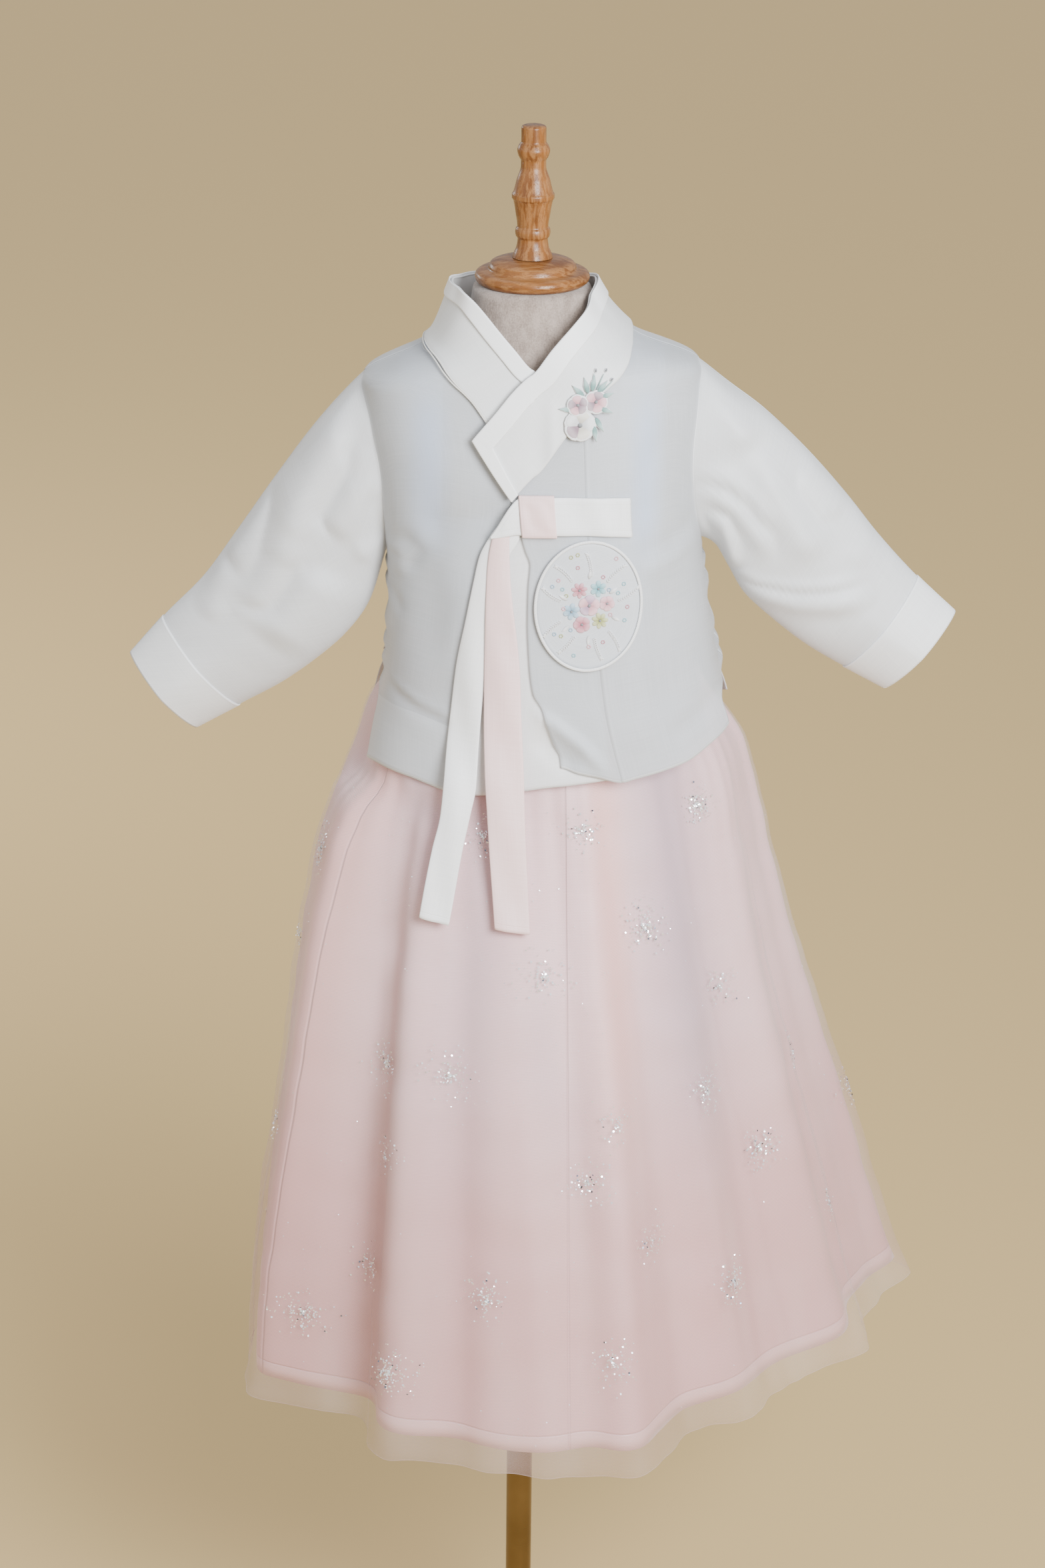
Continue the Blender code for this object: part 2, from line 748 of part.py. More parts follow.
def build_sleeves(organza, white):
    sleeve_rows = (0.0, 0.05, 0.10, 0.18, 0.28, 0.40, 0.54, 0.69)
    for side, name in ((1, "left"), (-1, "right")):
        angles = [side * tau * k / SLEEVE_SIDES for k in range(SLEEVE_SIDES)]

        def grid(rows):
            return [[sleeve_surface(side, angle, along) for angle in angles] for along in rows]

        wall(f"sleeve_{name}", grid(sleeve_rows + (CUFF_START - 0.0015,)), CLOTH, organza, wraps=True)
        wall(f"cuff_{name}", grid((CUFF_START + 0.0015, 0.92, 1.0)), CLOTH, white, wraps=True)


# ---------------------------------------------------------------- ribbon tie
RIBBON_LIFT = 0.0044
LOOP_SPACE = 0.0020
LOOP_EDGES = table(
    "turn top bottom",
    (-6.0, 1.0434, 1.0187),
    (3.5, 1.0429, 1.0172),
    (13.3, 1.0412, 1.0158),
    (28.4, 1.0389, 1.0123),
)
WRAP_OUT = 0.0080
WHITE_TAIL = table(
    "height left right depth",
    (0.7470, -0.0750, -0.0545, 0.1240),
    (0.7700, -0.0710, -0.0500, 0.1190),
    (0.7950, -0.0660, -0.0450, 0.1130),
    (0.8180, -0.0605, -0.0400, 0.1080),
    (0.8380, -0.0585, -0.0360, 0.1030),
    (0.8640, -0.0565, -0.0345, 0.0975),
    (0.8920, -0.0535, -0.0325, 0.0935),
    (0.9230, -0.0500, -0.0290, 0.0900),
    (0.9540, -0.0440, -0.0235, 0.0885),
    (0.9850, -0.0380, -0.0180, 0.0870),
    (1.0020, -0.0342, -0.0145, 0.0865),
    (1.0165, -0.0283, -0.0070, 0.0865),
    (1.0290, -0.0215, -0.0060, 0.0862),
    (1.0405, -0.0140, -0.0058, 0.0850),
)
PINK_TAIL = table(
    "height left right depth",
    (0.7400, -0.0215, 0.0030, 0.1275),
    (0.7650, -0.0235, 0.0015, 0.1215),
    (0.7900, -0.0255, 0.0000, 0.1165),
    (0.8200, -0.0275, -0.0015, 0.1110),
    (0.8500, -0.0294, -0.0026, 0.1060),
    (0.8880, -0.0304, -0.0046, 0.1005),
    (0.9200, -0.0303, -0.0059, 0.0965),
    (0.9460, -0.0300, -0.0085, 0.0940),
    (0.9715, -0.0296, -0.0118, 0.0925),
    (0.9930, -0.0288, -0.0136, 0.0910),
    (1.0155, -0.0274, -0.0145, 0.0900),
)
WHITE_TAIL_LIFT = 0.0042
PINK_TAIL_LIFT = 0.0068
TAIL_CROWN = 0.0010


def tail_grid(rows, heights, lift, slant):
    """A hanging ribbon end: on the jacket above its hem, and free in front of the skirt below."""
    points = []
    for height in heights:
        left, right = at(rows, "left", "height", height), at(rows, "right", "height", height)
        on_jacket = ease(0.838, 0.880, height)
        free_depth = at(rows, "depth", "height", height)
        points.append([])
        for share in steps(0, 1, 3):
            x = mix(left, right, share)
            z = height - slant * share * (1 - ease(0.75, 0.80, height))
            laid = jacket(front_turn(x, z), z, lift)
            crown = TAIL_CROWN * sin(pi * share)
            hung = Vector((x, -free_depth - crown, z))
            worn = Vector((x, laid.y - crown, z))
            points[-1].append(hung.lerp(worn, on_jacket))
    return points


def build_ribbons(white, pink):
    def height_at(turn, share):
        return mix(at(LOOP_EDGES, "bottom", "turn", turn), at(LOOP_EDGES, "top", "turn", turn), share)

    path = [(turn, RIBBON_LIFT) for turn in (-1.2, 5.0, 12.0, 20.0, 26.8)]
    path += [(27.9, RIBBON_LIFT + LOOP_SPACE * 0.18), (28.3, RIBBON_LIFT + LOOP_SPACE / 2)]
    path += [(27.9, RIBBON_LIFT + LOOP_SPACE * 0.82)]
    path += [(turn, RIBBON_LIFT + LOOP_SPACE) for turn in (26.8, 20.0, 12.0, 5.0, -1.2)]
    loop = [[jacket(radians(t), height_at(t, share), out) for share in steps(0, 1, 2)] for t, out in path]
    wall("ribbon_loop", loop, RIBBON, white)

    over, under = RIBBON + SEAM_GAP, 0.0040
    round_it = [(-over, under), (-over, WRAP_OUT - 0.0009), (-0.0004, WRAP_OUT), (0.0062, WRAP_OUT)]
    round_it += [(0.0124, WRAP_OUT), (0.0186, WRAP_OUT)]
    wrap = []
    for rise, out in round_it:
        row = []
        for share in steps(0, 1, 2):
            turn = mix(-3.4, 3.4, share)
            row.append(jacket(radians(turn), at(LOOP_EDGES, "bottom", "turn", turn) + rise, out))
        wrap.append(row)
    for drop, out in ((0.0004, WRAP_OUT), (-over, WRAP_OUT - 0.0009), (-over, under)):
        row = []
        for share in steps(0, 1, 2):
            turn = mix(-3.4, 3.4, share)
            row.append(jacket(radians(turn), at(LOOP_EDGES, "top", "turn", turn) - drop, out))
        wrap.append(row)
    wall("ribbon_wrap", wrap, RIBBON, pink)
    wall(
        "ribbon_tail_white",
        tail_grid(WHITE_TAIL, WHITE_TAIL["height"], WHITE_TAIL_LIFT, 0.006),
        RIBBON,
        white,
    )
    wall("ribbon_tail_pink", tail_grid(PINK_TAIL, PINK_TAIL["height"], PINK_TAIL_LIFT, 0.004), RIBBON, pink)


# ---------------------------------------------------------------- embroidered patches
MEDALLION = {"x": 0.0405, "height": 0.9670, "half_width": 0.0370, "half_height": 0.0457}
MEDALLION_SIDES = 28
RIM_RADIUS = 0.0015
PATCH = 0.0010
PATCH_LIFT = 0.0043
RIM_LIFT = 0.0052
FLOWERS = {"x": 0.0375, "height": 1.1025, "half_width": 0.0165, "half_height": 0.0265, "tilt": 24.0}
FLOWERS_LIFT = 0.0083


def oval_point(oval, angle, share, inset, out):
    """A point of an upright oval laid on the jacket's front."""
    tilt = radians(oval.get("tilt", 0.0))
    across = (oval["half_width"] - inset) * share * cos(angle)
    up = (oval["half_height"] - inset) * share * sin(angle)
    x = oval["x"] + across * cos(tilt) + up * sin(tilt)
    height = oval["height"] - across * sin(tilt) + up * cos(tilt)
    return jacket(front_turn(x, height), height, out)


def build_patches(patch, rim, flowers):
    angles = [tau * k / MEDALLION_SIDES for k in range(MEDALLION_SIDES)]
    inset = 2 * RIM_RADIUS + SEAM_GAP
    shares = (1, 0.66, 0.33)
    rings = [[oval_point(MEDALLION, a, share, inset, PATCH_LIFT) for a in angles] for share in shares]
    wall("medallion", rings, PATCH, patch, wraps=True, closed_end=True)

    ring_sides = 6
    rim_faces, rim_points = [], []
    for i, angle in enumerate(angles):
        centre = oval_point(MEDALLION, angle, 1, RIM_RADIUS, RIM_LIFT)
        outward = (centre - oval_point(MEDALLION, angle, 0.9, RIM_RADIUS, RIM_LIFT)).normalized()
        off = Vector((0, -1, 0))
        for k in range(ring_sides):
            swing = tau * k / ring_sides
            rim_points.append(centre + (outward * cos(swing) + off * sin(swing)) * RIM_RADIUS)
            a, b = i * ring_sides + k, i * ring_sides + (k + 1) % ring_sides
            ahead = ((i + 1) % MEDALLION_SIDES) * ring_sides
            rim_faces.append([a, b, ahead + (k + 1) % ring_sides, ahead + k])
    solid("medallion_rim", rim_points, rim_faces, rim)

    petals = [tau * k / 30 for k in range(30)]

    def lobe(angle):
        return 1 + 0.17 * cos(5 * angle + 0.6) + 0.07 * cos(8 * angle)

    rings = [[oval_point(FLOWERS, a, share * lobe(a), 0, FLOWERS_LIFT) for a in petals] for share in (1, 0.5)]
    wall("collar_flowers", rings, PATCH, flowers, wraps=True, closed_end=True)


# ---------------------------------------------------------------- skirt bodice and straps
BODICE_OUT = 0.0013
STRAP_OUT = 0.0017
STRAP_SLACK = 0.0016
BODICE_LOW, BODICE_HIGH = 0.926, 1.026
BODICE_SIDES = 28
STRAP_FIRST_X, STRAP_LAST_X = 0.060, 0.092
STRAP_LOW = 1.0268
STRAP_HALF = (1.0, 0.75, 0.52, 0.34, 0.22, 0.12, 0.05)
STRAP_ROWS = tuple(-k for k in STRAP_HALF) + (0.0,) + STRAP_HALF[::-1]


def form_wall_point(turn, height, out):
    return form_surface(turn, height) + surface_normal(form_surface, turn, height) * out


def form_turn(x, height):
    across = max(-1.0, min(1.0, x / at(FORM, "half_width", "height", height)))
    return asin(copysign(abs(across) ** (FORM_POWER / 2), across))


def ridge_height(x):
    """The height at which the form's shoulder has this x."""
    low, high = 1.095, 1.139
    for _ in range(30):
        middle = (low + high) / 2
        low, high = (middle, high) if at(FORM, "half_width", "height", middle) > abs(x) else (low, middle)
    return low


def build_bodice(white):
    turns = [tau * k / BODICE_SIDES for k in range(BODICE_SIDES)]
    rows = [[form_wall_point(t, h, BODICE_OUT) for t in turns] for h in steps(BODICE_LOW, BODICE_HIGH, 3)]
    wall("skirt_bodice", rows, CLOTH, white, wraps=True)
    for side, name in ((1, "left"), (-1, "right")):
        points, normals = [], []
        for along in STRAP_ROWS:
            points.append([])
            normals.append([])
            for x in steps(STRAP_FIRST_X, STRAP_LAST_X, 3):
                height = mix(ridge_height(x) - 0.00002, STRAP_LOW, abs(along) ** 1.6)
                turn = form_turn(side * x, height)
                turn = turn if along <= 0 else side * pi - turn
                out = STRAP_OUT + STRAP_SLACK * ease(0.1, 0.5, abs(along))
                normal = surface_normal(form_surface, turn, height, 0.03)
                points[-1].append(form_surface(turn, height) + normal * out)
                normals[-1].append(normal)
        wall(f"shoulder_strap_{name}", points, CLOTH, white, normals)


# ---------------------------------------------------------------- skirt
SKIRT_TOP, SATIN_HEM, TULLE_HEM = 0.934, 0.362, 0.346
SKIRT_SIDES = 80
HEM_CENTRE_X = 0.040
SKIRT_WAIST = {"half_width": 0.0913, "front": 0.0704, "back": 0.0694}
HEM_PLAN = table(
    "turn radius",
    (-180.0, 0.2250),
    (-150.0, 0.2350),
    (-120.0, 0.2410),
    (-90.0, 0.2350),
    (-76.0, 0.2430),
    (-68.0, 0.2500),
    (-62.0, 0.2370),
    (-55.0, 0.2230),
    (-46.0, 0.2120),
    (-40.0, 0.2180),
    (-32.0, 0.2150),
    (-22.0, 0.2070),
    (-2.0, 0.2050),
    (7.0, 0.2050),
    (13.0, 0.1980),
    (19.0, 0.1860),
    (31.0, 0.1700),
    (50.0, 0.1650),
    (67.0, 0.1800),
    (81.0, 0.2020),
    (92.0, 0.2180),
    (103.0, 0.2400),
    (110.0, 0.2740),
    (119.0, 0.2620),
    (135.0, 0.2480),
    (155.0, 0.2330),
    (180.0, 0.2250),
)
SPREAD = table(
    "height right front left back",
    (0.346, 1.03, 1.02, 1.03, 1.02),
    (0.362, 1.00, 1.00, 1.00, 1.00),
    (0.406, 0.99, 0.92, 0.92, 0.95),
    (0.476, 0.93, 0.81, 0.82, 0.86),
    (0.575, 0.80, 0.66, 0.67, 0.72),
    (0.672, 0.70, 0.48, 0.53, 0.56),
    (0.767, 0.545, 0.28, 0.42, 0.39),
    (0.823, 0.36, 0.17, 0.355, 0.26),
    (0.866, 0.215, 0.10, 0.22, 0.17),
    (0.884, 0.10, 0.07, 0.17, 0.12),
    (0.910, 0.04, 0.03, 0.08, 0.05),
    (0.934, 0.00, 0.00, 0.00, 0.00),
)
FOLDS = table(
    "hem_turn waist_turn depth width",
    (-65.0, -62.0, 0.0040, 5.0),
    (-52.0, -50.0, -0.0060, 6.0),
    (-37.0, -40.0, 0.0080, 7.0),
    (-27.0, -24.0, -0.0050, 6.0),
    (-12.0, -12.0, 0.0050, 9.0),
    (2.0, 4.0, -0.0050, 6.0),
    (13.0, 16.0, 0.0080, 7.0),
    (30.0, 28.0, -0.0045, 8.0),
    (47.0, 42.0, 0.0045, 9.0),
    (64.0, 58.0, -0.0045, 8.0),
    (81.0, 74.0, 0.0080, 7.0),
    (95.0, 90.0, -0.0080, 6.0),
    (125.0, 120.0, -0.0090, 8.0),
    (141.0, 138.0, 0.0070, 7.0),
    (157.0, 156.0, -0.0090, 7.0),
    (172.0, 172.0, 0.0080, 7.0),
    (189.0, 190.0, -0.0090, 7.0),
    (206.0, 208.0, 0.0070, 7.0),
    (222.0, 224.0, -0.0080, 7.0),
    (238.0, 240.0, 0.0070, 7.0),
    (254.0, 256.0, -0.0080, 7.0),
    (270.0, 272.0, 0.0050, 7.0),
)
PINCH_CLEAR = 0.0046


def fold_depth(turn_degrees, height):
    """How far the folds move the skirt out (or in) here; they fade away towards the waist."""
    drop = 1 - ease(0.480, 0.905, height)
    total = 0.0
    for k in range(len(FOLDS["depth"])):
        up = (height - SATIN_HEM) / (SKIRT_TOP - SATIN_HEM)
        line = mix(FOLDS["hem_turn"][k], FOLDS["waist_turn"][k], up)
        off = (turn_degrees - line + 180) % 360 - 180
        total += FOLDS["depth"][k] * exp(-((off / FOLDS["width"][k]) ** 2))
    return total * (0.15 + 0.85 * drop) * (1 - ease(0.90, 0.93, height))


def pinched(point):
    """The jacket's front holds the skirt in as far down as its hem."""
    columns = ("centre_x", "half_width", "front", "back")
    centre, half_width, front, back = (at(JACKET, c, "height", point.z) for c in columns)
    x, y = point.x - centre, point.y
    if y > 0.03:
        return point
    clear = PINCH_CLEAR
    reach = (abs(x) / (half_width - clear)) ** JACKET_POWER
    reach += (abs(min(y, 0)) / (front - clear)) ** JACKET_POWER
    if reach <= 1:
        return point
    scale = reach ** (-1 / JACKET_POWER)
    turn = degrees(atan2(x / half_width, -y / front))
    on_side = ease(-97, -80, turn) * (1 - ease(76, 92, turn))
    held = on_side * ease(0.800, 0.828, point.z)
    return point.lerp(Vector((centre + x * scale, y * scale, point.z)), held)


def skirt_surface(turn, height, out=0.0):
    """A point of the satin skirt, moved straight out from its middle."""
    turn_degrees = (degrees(turn) + 180) % 360 - 180
    waist = [SKIRT_WAIST[k] for k in ("half_width", "front", "back")]
    waist_x, waist_y = section_point(turn, 0.0, *waist, FORM_POWER)
    radius = at(HEM_PLAN, "radius", "turn", turn_degrees)
    hem_x, hem_y = HEM_CENTRE_X + radius * sin(turn), -radius * cos(turn)
    sides = {
        "left": max(0.0, sin(turn)) ** 2,
        "right": max(0.0, -sin(turn)) ** 2,
        "front": max(0.0, cos(turn)) ** 2,
        "back": max(0.0, -cos(turn)) ** 2,
    }
    spread = sum(share * at(SPREAD, side, "height", height) for side, share in sides.items())
    point = Vector((mix(waist_x, hem_x, spread), mix(waist_y, hem_y, spread), height))
    point = pinched(point)
    move = fold_depth(turn_degrees, height) * (1 - 0.8 * ease(0.80, 0.85, height)) + out
    return point + Vector((sin(turn), -cos(turn), 0)) * move


def tulle_out(turn, height):
    """The tulle stands off the satin, and more so towards its rippled hem."""
    ripple = 0.0022 * sin(9 * turn + 0.5) + 0.0016 * sin(17 * turn + 1.3)
    return 0.0019 + 0.0058 * (1 - ease(0.42, 0.84, height)) + ripple * (1 - ease(0.40, 0.62, height))


def build_skirt(satin, tulle):
    turns = [tau * k / SKIRT_SIDES for k in range(SKIRT_SIDES)]
    levels = (SKIRT_TOP, 0.902, 0.870, 0.836, 0.785, 0.705, 0.600, 0.480, SATIN_HEM)
    rows = [[skirt_surface(t, h) for t in turns] for h in levels]
    wall("skirt_satin", rows, CLOTH, satin, wraps=True)
    levels = levels[:-1] + (TULLE_HEM,)
    rows = [[skirt_surface(t, h, tulle_out(t, h)) for t in turns] for h in levels]
    wall("skirt_tulle", rows, TULLE, tulle, wraps=True)


# ---------------------------------------------------------------- the whole
def build():
    for old in list(bpy.data.objects):
        bpy.data.objects.remove(old)
    bpy.context.scene.collection.children.link(bpy.data.collections.new("hanbok on dress form"))
    organza = principled("white organza", (0.72, 0.74, 0.76), 0.55, sheen=0.3)
    white = principled("white lining", (0.86, 0.86, 0.86), 0.60, sheen=0.2)
    pink = principled("pink organza", (0.86, 0.70, 0.69), 0.55, sheen=0.3)
    wood = principled("turned wood", (0.60, 0.33, 0.14), 0.40)
    brass = principled("brass", (0.62, 0.44, 0.20), 0.28, metallic=1.0)
    build_form(principled("neck cloth", (0.55, 0.49, 0.44), 0.85, sheen=0.4))
    build_stand(wood, brass)
    build_bodice(white)
    build_skirt(principled("pink satin", (0.72, 0.54, 0.53), 0.45, sheen=0.2),
                principled("glitter tulle", (0.82, 0.70, 0.70), 0.50))
    build_jacket(organza, white)
    build_sleeves(organza, white)
    build_collar(principled("collar white", (0.80, 0.80, 0.78), 0.55, sheen=0.2), white, organza)
    build_ribbons(white, pink)
    build_patches(
        organza,
        principled("satin stitch", (0.88, 0.88, 0.88), 0.40),
        principled("flower embroidery", (0.80, 0.72, 0.72), 0.50),
    )


build()
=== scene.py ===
"""The looks of a small child's hanbok on a limbless dress form: a white crossed jacket with a
ribbon tie, over a flared pink satin skirt with a glittered tulle. Metres, +Z up. The garment
faces -Y, so +X is the wearer's left. The origin is the middle of the stand's base."""
import random
from bisect import bisect
from functools import lru_cache
from math import asin, atan2, copysign, cos, degrees, exp, hypot, pi, radians, sin, sqrt, tau

import bmesh
import bpy
from mathutils import Matrix, Vector, noise


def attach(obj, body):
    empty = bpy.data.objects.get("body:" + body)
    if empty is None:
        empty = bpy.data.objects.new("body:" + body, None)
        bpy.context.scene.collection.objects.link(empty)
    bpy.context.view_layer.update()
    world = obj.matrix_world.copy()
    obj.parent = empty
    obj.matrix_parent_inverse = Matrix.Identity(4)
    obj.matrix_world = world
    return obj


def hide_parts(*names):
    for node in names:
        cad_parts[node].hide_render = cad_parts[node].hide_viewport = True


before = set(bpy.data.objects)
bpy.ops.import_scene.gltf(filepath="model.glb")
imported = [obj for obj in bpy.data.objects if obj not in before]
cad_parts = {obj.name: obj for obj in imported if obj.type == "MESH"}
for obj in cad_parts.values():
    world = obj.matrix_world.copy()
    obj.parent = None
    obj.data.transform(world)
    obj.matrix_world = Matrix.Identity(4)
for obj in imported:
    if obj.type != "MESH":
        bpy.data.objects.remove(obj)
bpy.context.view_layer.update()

# ---------------------------------------------------------------- brass stand
# A pressed-steel disc, a turned foot, a straight tube and the form's socket, all brass plated
# and brushed round. The foot is screwed to the disc, and the tube is pushed into it.


class Table(dict):
    """Named columns of values."""

    __hash__ = object.__hash__

    def rows(self):
        return zip(*self.values())


def table(columns, *rows):
    return Table(zip(columns.split(), zip(*rows)))


@lru_cache(maxsize=None)
def at(rows, column, key, value):
    """The column where the key column has this value, on a smooth curve that never overshoots."""
    xs, ys = rows[key], rows[column]
    if value <= xs[0]:
        return ys[0]
    if value >= xs[-1]:
        return ys[-1]
    i = max(k for k in range(len(xs) - 1) if xs[k] <= value)
    slopes = [(ys[k + 1] - ys[k]) / (xs[k + 1] - xs[k]) for k in range(len(xs) - 1)]

    def tangent(k):
        if k in (0, len(xs) - 1):
            return slopes[min(k, len(slopes) - 1)]
        before, after = slopes[k - 1], slopes[k]
        return 0.0 if before * after <= 0 else 2 * before * after / (before + after)

    width = xs[i + 1] - xs[i]
    u = (value - xs[i]) / width
    return (
        ys[i] * (1 + 2 * u) * (1 - u) ** 2
        + ys[i + 1] * u * u * (3 - 2 * u)
        + width * u * (1 - u) * (tangent(i) * (1 - u) - tangent(i + 1) * u)
    )


def row_at(rows, columns, key, value):
    """Several columns, named in one string, where the key column has this value."""
    return [at(rows, column, key, value) for column in columns.split()]


def mix(first, last, share):
    return first + (last - first) * share


def steps(first, last, count):
    """count + 1 values from first to last."""
    return [mix(first, last, k / count) for k in range(count + 1)]


def turned(profile, sides):
    """A solid spun about the pole's line from its rows of (height, radius), top to bottom."""
    shape = bmesh.new()
    rows = [(profile[0][0], 0.0), *profile, (profile[-1][0], 0.0)]
    points = [shape.verts.new((radius, 0, height)) for height, radius in rows]
    line = [shape.edges.new(pair) for pair in zip(points, points[1:])]
    bmesh.ops.spin(shape, geom=points + line, axis=(0, 0, 1), cent=(0, 0, 0), steps=sides,
                   angle=tau, use_merge=True)
    bmesh.ops.remove_doubles(shape, verts=shape.verts, dist=1e-6)
    bmesh.ops.recalc_face_normals(shape, faces=shape.faces)
    return shape


def piece(name, shape, finish, stands_for, wall=0.0, sharp=None):
    """The finished shape as one piece of the part, which stands for its plain solids."""
    mesh_data = bpy.data.meshes.new(name)
    shape.to_mesh(mesh_data)
    shape.free()
    made = bpy.data.objects.new(name, mesh_data)
    bpy.context.scene.collection.objects.link(made)
    for each in finish if isinstance(finish, (list, tuple)) else [finish]:
        mesh_data.materials.append(each.material)
    mesh_data.shade_smooth()
    if sharp:
        mesh_data.set_sharp_from_angle(angle=radians(sharp))
    if wall:
        cloth = made.modifiers.new("cloth thickness", "SOLIDIFY")
        cloth.thickness, cloth.offset = wall, 0.0
    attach(made, "root")
    if stands_for:
        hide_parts(*stands_for)
    return made


class Value:
    """A number on its way to the shader. A sum with it adds the nodes that the sum needs."""

    def __init__(self, finish, socket):
        self.finish, self.socket = finish, socket

    def math(self, operation, *others):
        values = dict(enumerate((self, *others)))
        return self.finish.node("Math", {"operation": operation}, values)

    def __add__(self, other):
        return self.math("ADD", other)

    def __sub__(self, other):
        return self.math("SUBTRACT", other)

    def __mul__(self, other):
        return self.math("MULTIPLY", other)

    def __abs__(self):
        return self.math("ABSOLUTE")

    def wave(self, length):
        """0 to 1 and back over each length."""
        return (self * (tau / length)).math("SINE") * 0.5 + 0.5

    def rise(self, low, high, first=0.0, last=1.0):
        """first below low, last above high, and a smooth rise between them."""
        return self.finish.node("MapRange", {"interpolation_type": "SMOOTHSTEP"},
                                {0: self, 1: low, 2: high, 3: first, 4: last})

    def capped(self):
        return self.math("MINIMUM", 1.0)

    def near(self, middle, reach):
        """1 at the middle, 0 further off than the reach."""
        return abs(self - middle).rise(0.0, reach, 1.0, 0.0)


class Finish:
    """One Principled material. Its constants go straight on the shader's sockets."""

    def __init__(self, name, colour, **constants):
        self.material = bpy.data.materials.new(name)
        self.material.use_nodes = True
        self.tree = self.material.node_tree
        self.shader = self.tree.nodes["Principled BSDF"]
        self.colour = colour
        self.feed(Base_Color=(*colour, 1.0), **constants)

    def node(self, kind, settings=None, sockets=None, out=0):
        """Adds any node: its settings first, then the values or links of its sockets."""
        made = self.tree.nodes.new("ShaderNode" + kind)
        for setting, value in (settings or {}).items():
            setattr(made, setting, value)
        for socket, value in (sockets or {}).items():
            if isinstance(value, Value):
                self.tree.links.new(value.socket, made.inputs[socket])
            else:
                made.inputs[socket].default_value = value
        return Value(self, made.outputs[out])

    def feed(self, **inputs):
        """Sets or links the shader's own sockets, named with _ for a space."""
        for name, value in inputs.items():
            socket = self.shader.inputs[name.replace("_", " ")]
            if isinstance(value, Value):
                self.tree.links.new(value.socket, socket)
            else:
                socket.default_value = value

    def place(self):
        """Where a point is on the object."""
        return self.node("TexCoord", out=3)

    def parts(self, vector):
        """A vector's three numbers."""
        split = self.node("SeparateXYZ", sockets={0: vector})
        return [Value(self, socket) for socket in split.socket.node.outputs]

    def cloth_map(self, name):
        """The map that holds where a point is on its cloth."""
        return self.node("UVMap", {"uv_map": name})

    def stretched(self, vector, *scale):
        return self.node("Mapping", sockets={"Vector": vector, "Scale": scale})

    def grain(self, vector, scale, detail=3.0):
        """Soft uneven patches, from about 0.25 to 0.75."""
        return self.node("TexNoise", sockets={"Vector": vector, "Scale": scale, "Detail": detail})

    def tint(self, share, first, last):
        """A colour from first to last, which are colours or values."""
        ends = [end if isinstance(end, Value) else (*end, 1.0) for end in (first, last)]
        return self.node("Mix", {"data_type": "RGBA"}, {0: share, 6: ends[0], 7: ends[1]}, out=2)

    def relief(self, height, depth):
        """Bump from a height of 0 to 1, which is this many metres deep."""
        self.feed(Normal=self.node("Bump", sockets={"Height": height, "Distance": depth}))


BRASS_SIDES = 128
brass = Finish("brushed brass", (0.62, 0.40, 0.15), Metallic=1.0, Roughness=0.24)
spot = brass.place()
brushed = brass.grain(brass.stretched(spot, 6, 6, 900), 1.0)
worn = brass.grain(spot, 14.0, 5.0)
brass.feed(
    Base_Color=brass.tint(worn.rise(0.35, 0.7), (0.235, 0.170, 0.092), (0.170, 0.118, 0.058)),
    Roughness=brushed * 0.16 + worn * 0.12 + 0.10,
)
brass.relief(brushed, 0.00004)

disc_brass = Finish("lathe marked brass", (0.60, 0.40, 0.17), Metallic=1.0, Roughness=0.30)
x, y, z = disc_brass.parts(disc_brass.place())
ring = (x * x + y * y).math("SQRT")
marks = disc_brass.node("TexNoise", {"noise_dimensions": "1D"}, {"W": ring * 2600.0, "Scale": 1.0})
smudge = disc_brass.grain(disc_brass.place(), 9.0, 4.0)
disc_brass.feed(
    Base_Color=disc_brass.tint(smudge.rise(0.35, 0.7), (0.64, 0.44, 0.20), (0.50, 0.32, 0.13)),
    Roughness=marks * 0.18 + smudge * 0.14 + 0.12,
)
disc_brass.relief(marks, 0.00003)

BASE_TOP, BASE_RADIUS, BASE_EDGE = 0.0080, 0.1350, 0.0035
base_rim = [(BASE_TOP - BASE_EDGE * (1 - cos(a)), BASE_RADIUS - BASE_EDGE * (1 - sin(a)))
            for a in steps(0, pi / 2, 6)]
base_groove = [(BASE_TOP, 0.0420), (BASE_TOP - 0.0006, 0.0430), (BASE_TOP, 0.0440)]
base_foot = [(0.0006, BASE_RADIUS), (0.0, BASE_RADIUS - 0.0006)]
disc = turned([(BASE_TOP, 0.0300), *base_groove, *base_rim, *base_foot], BRASS_SIDES)
piece("base_disc", disc, disc_brass, ["base"], sharp=40)

FOOT = [
    (0.0301, 0.0110), (0.0301, 0.0146), (0.0296, 0.0158), (0.0286, 0.0165), (0.0280, 0.0160),
    (0.0270, 0.0160), (0.0262, 0.0168), (0.0200, 0.0172), (0.0150, 0.0181), (0.0120, 0.0215),
    (0.0104, 0.0252), (0.0094, 0.0266), (0.0084, 0.0270),
]
piece("pole_foot", turned(FOOT, BRASS_SIDES // 2), brass, ["foot_flange"], sharp=50)
TUBE = [(0.6826, 0.0094), (0.6820, 0.0100), (0.0311, 0.0100), (0.0305, 0.0094)]
piece("pole_tube", turned(TUBE, BRASS_SIDES // 2), brass, ["pole"], sharp=40)
SOCKET = [
    (0.6996, 0.0160), (0.6986, 0.0172), (0.6976, 0.0175), (0.6860, 0.0175), (0.6850, 0.0169),
    (0.6842, 0.0169), (0.6836, 0.0172), (0.6830, 0.0160),
]
piece("form_socket_ring", turned(SOCKET, BRASS_SIDES // 2), brass, ["form_socket"],
      sharp=40)

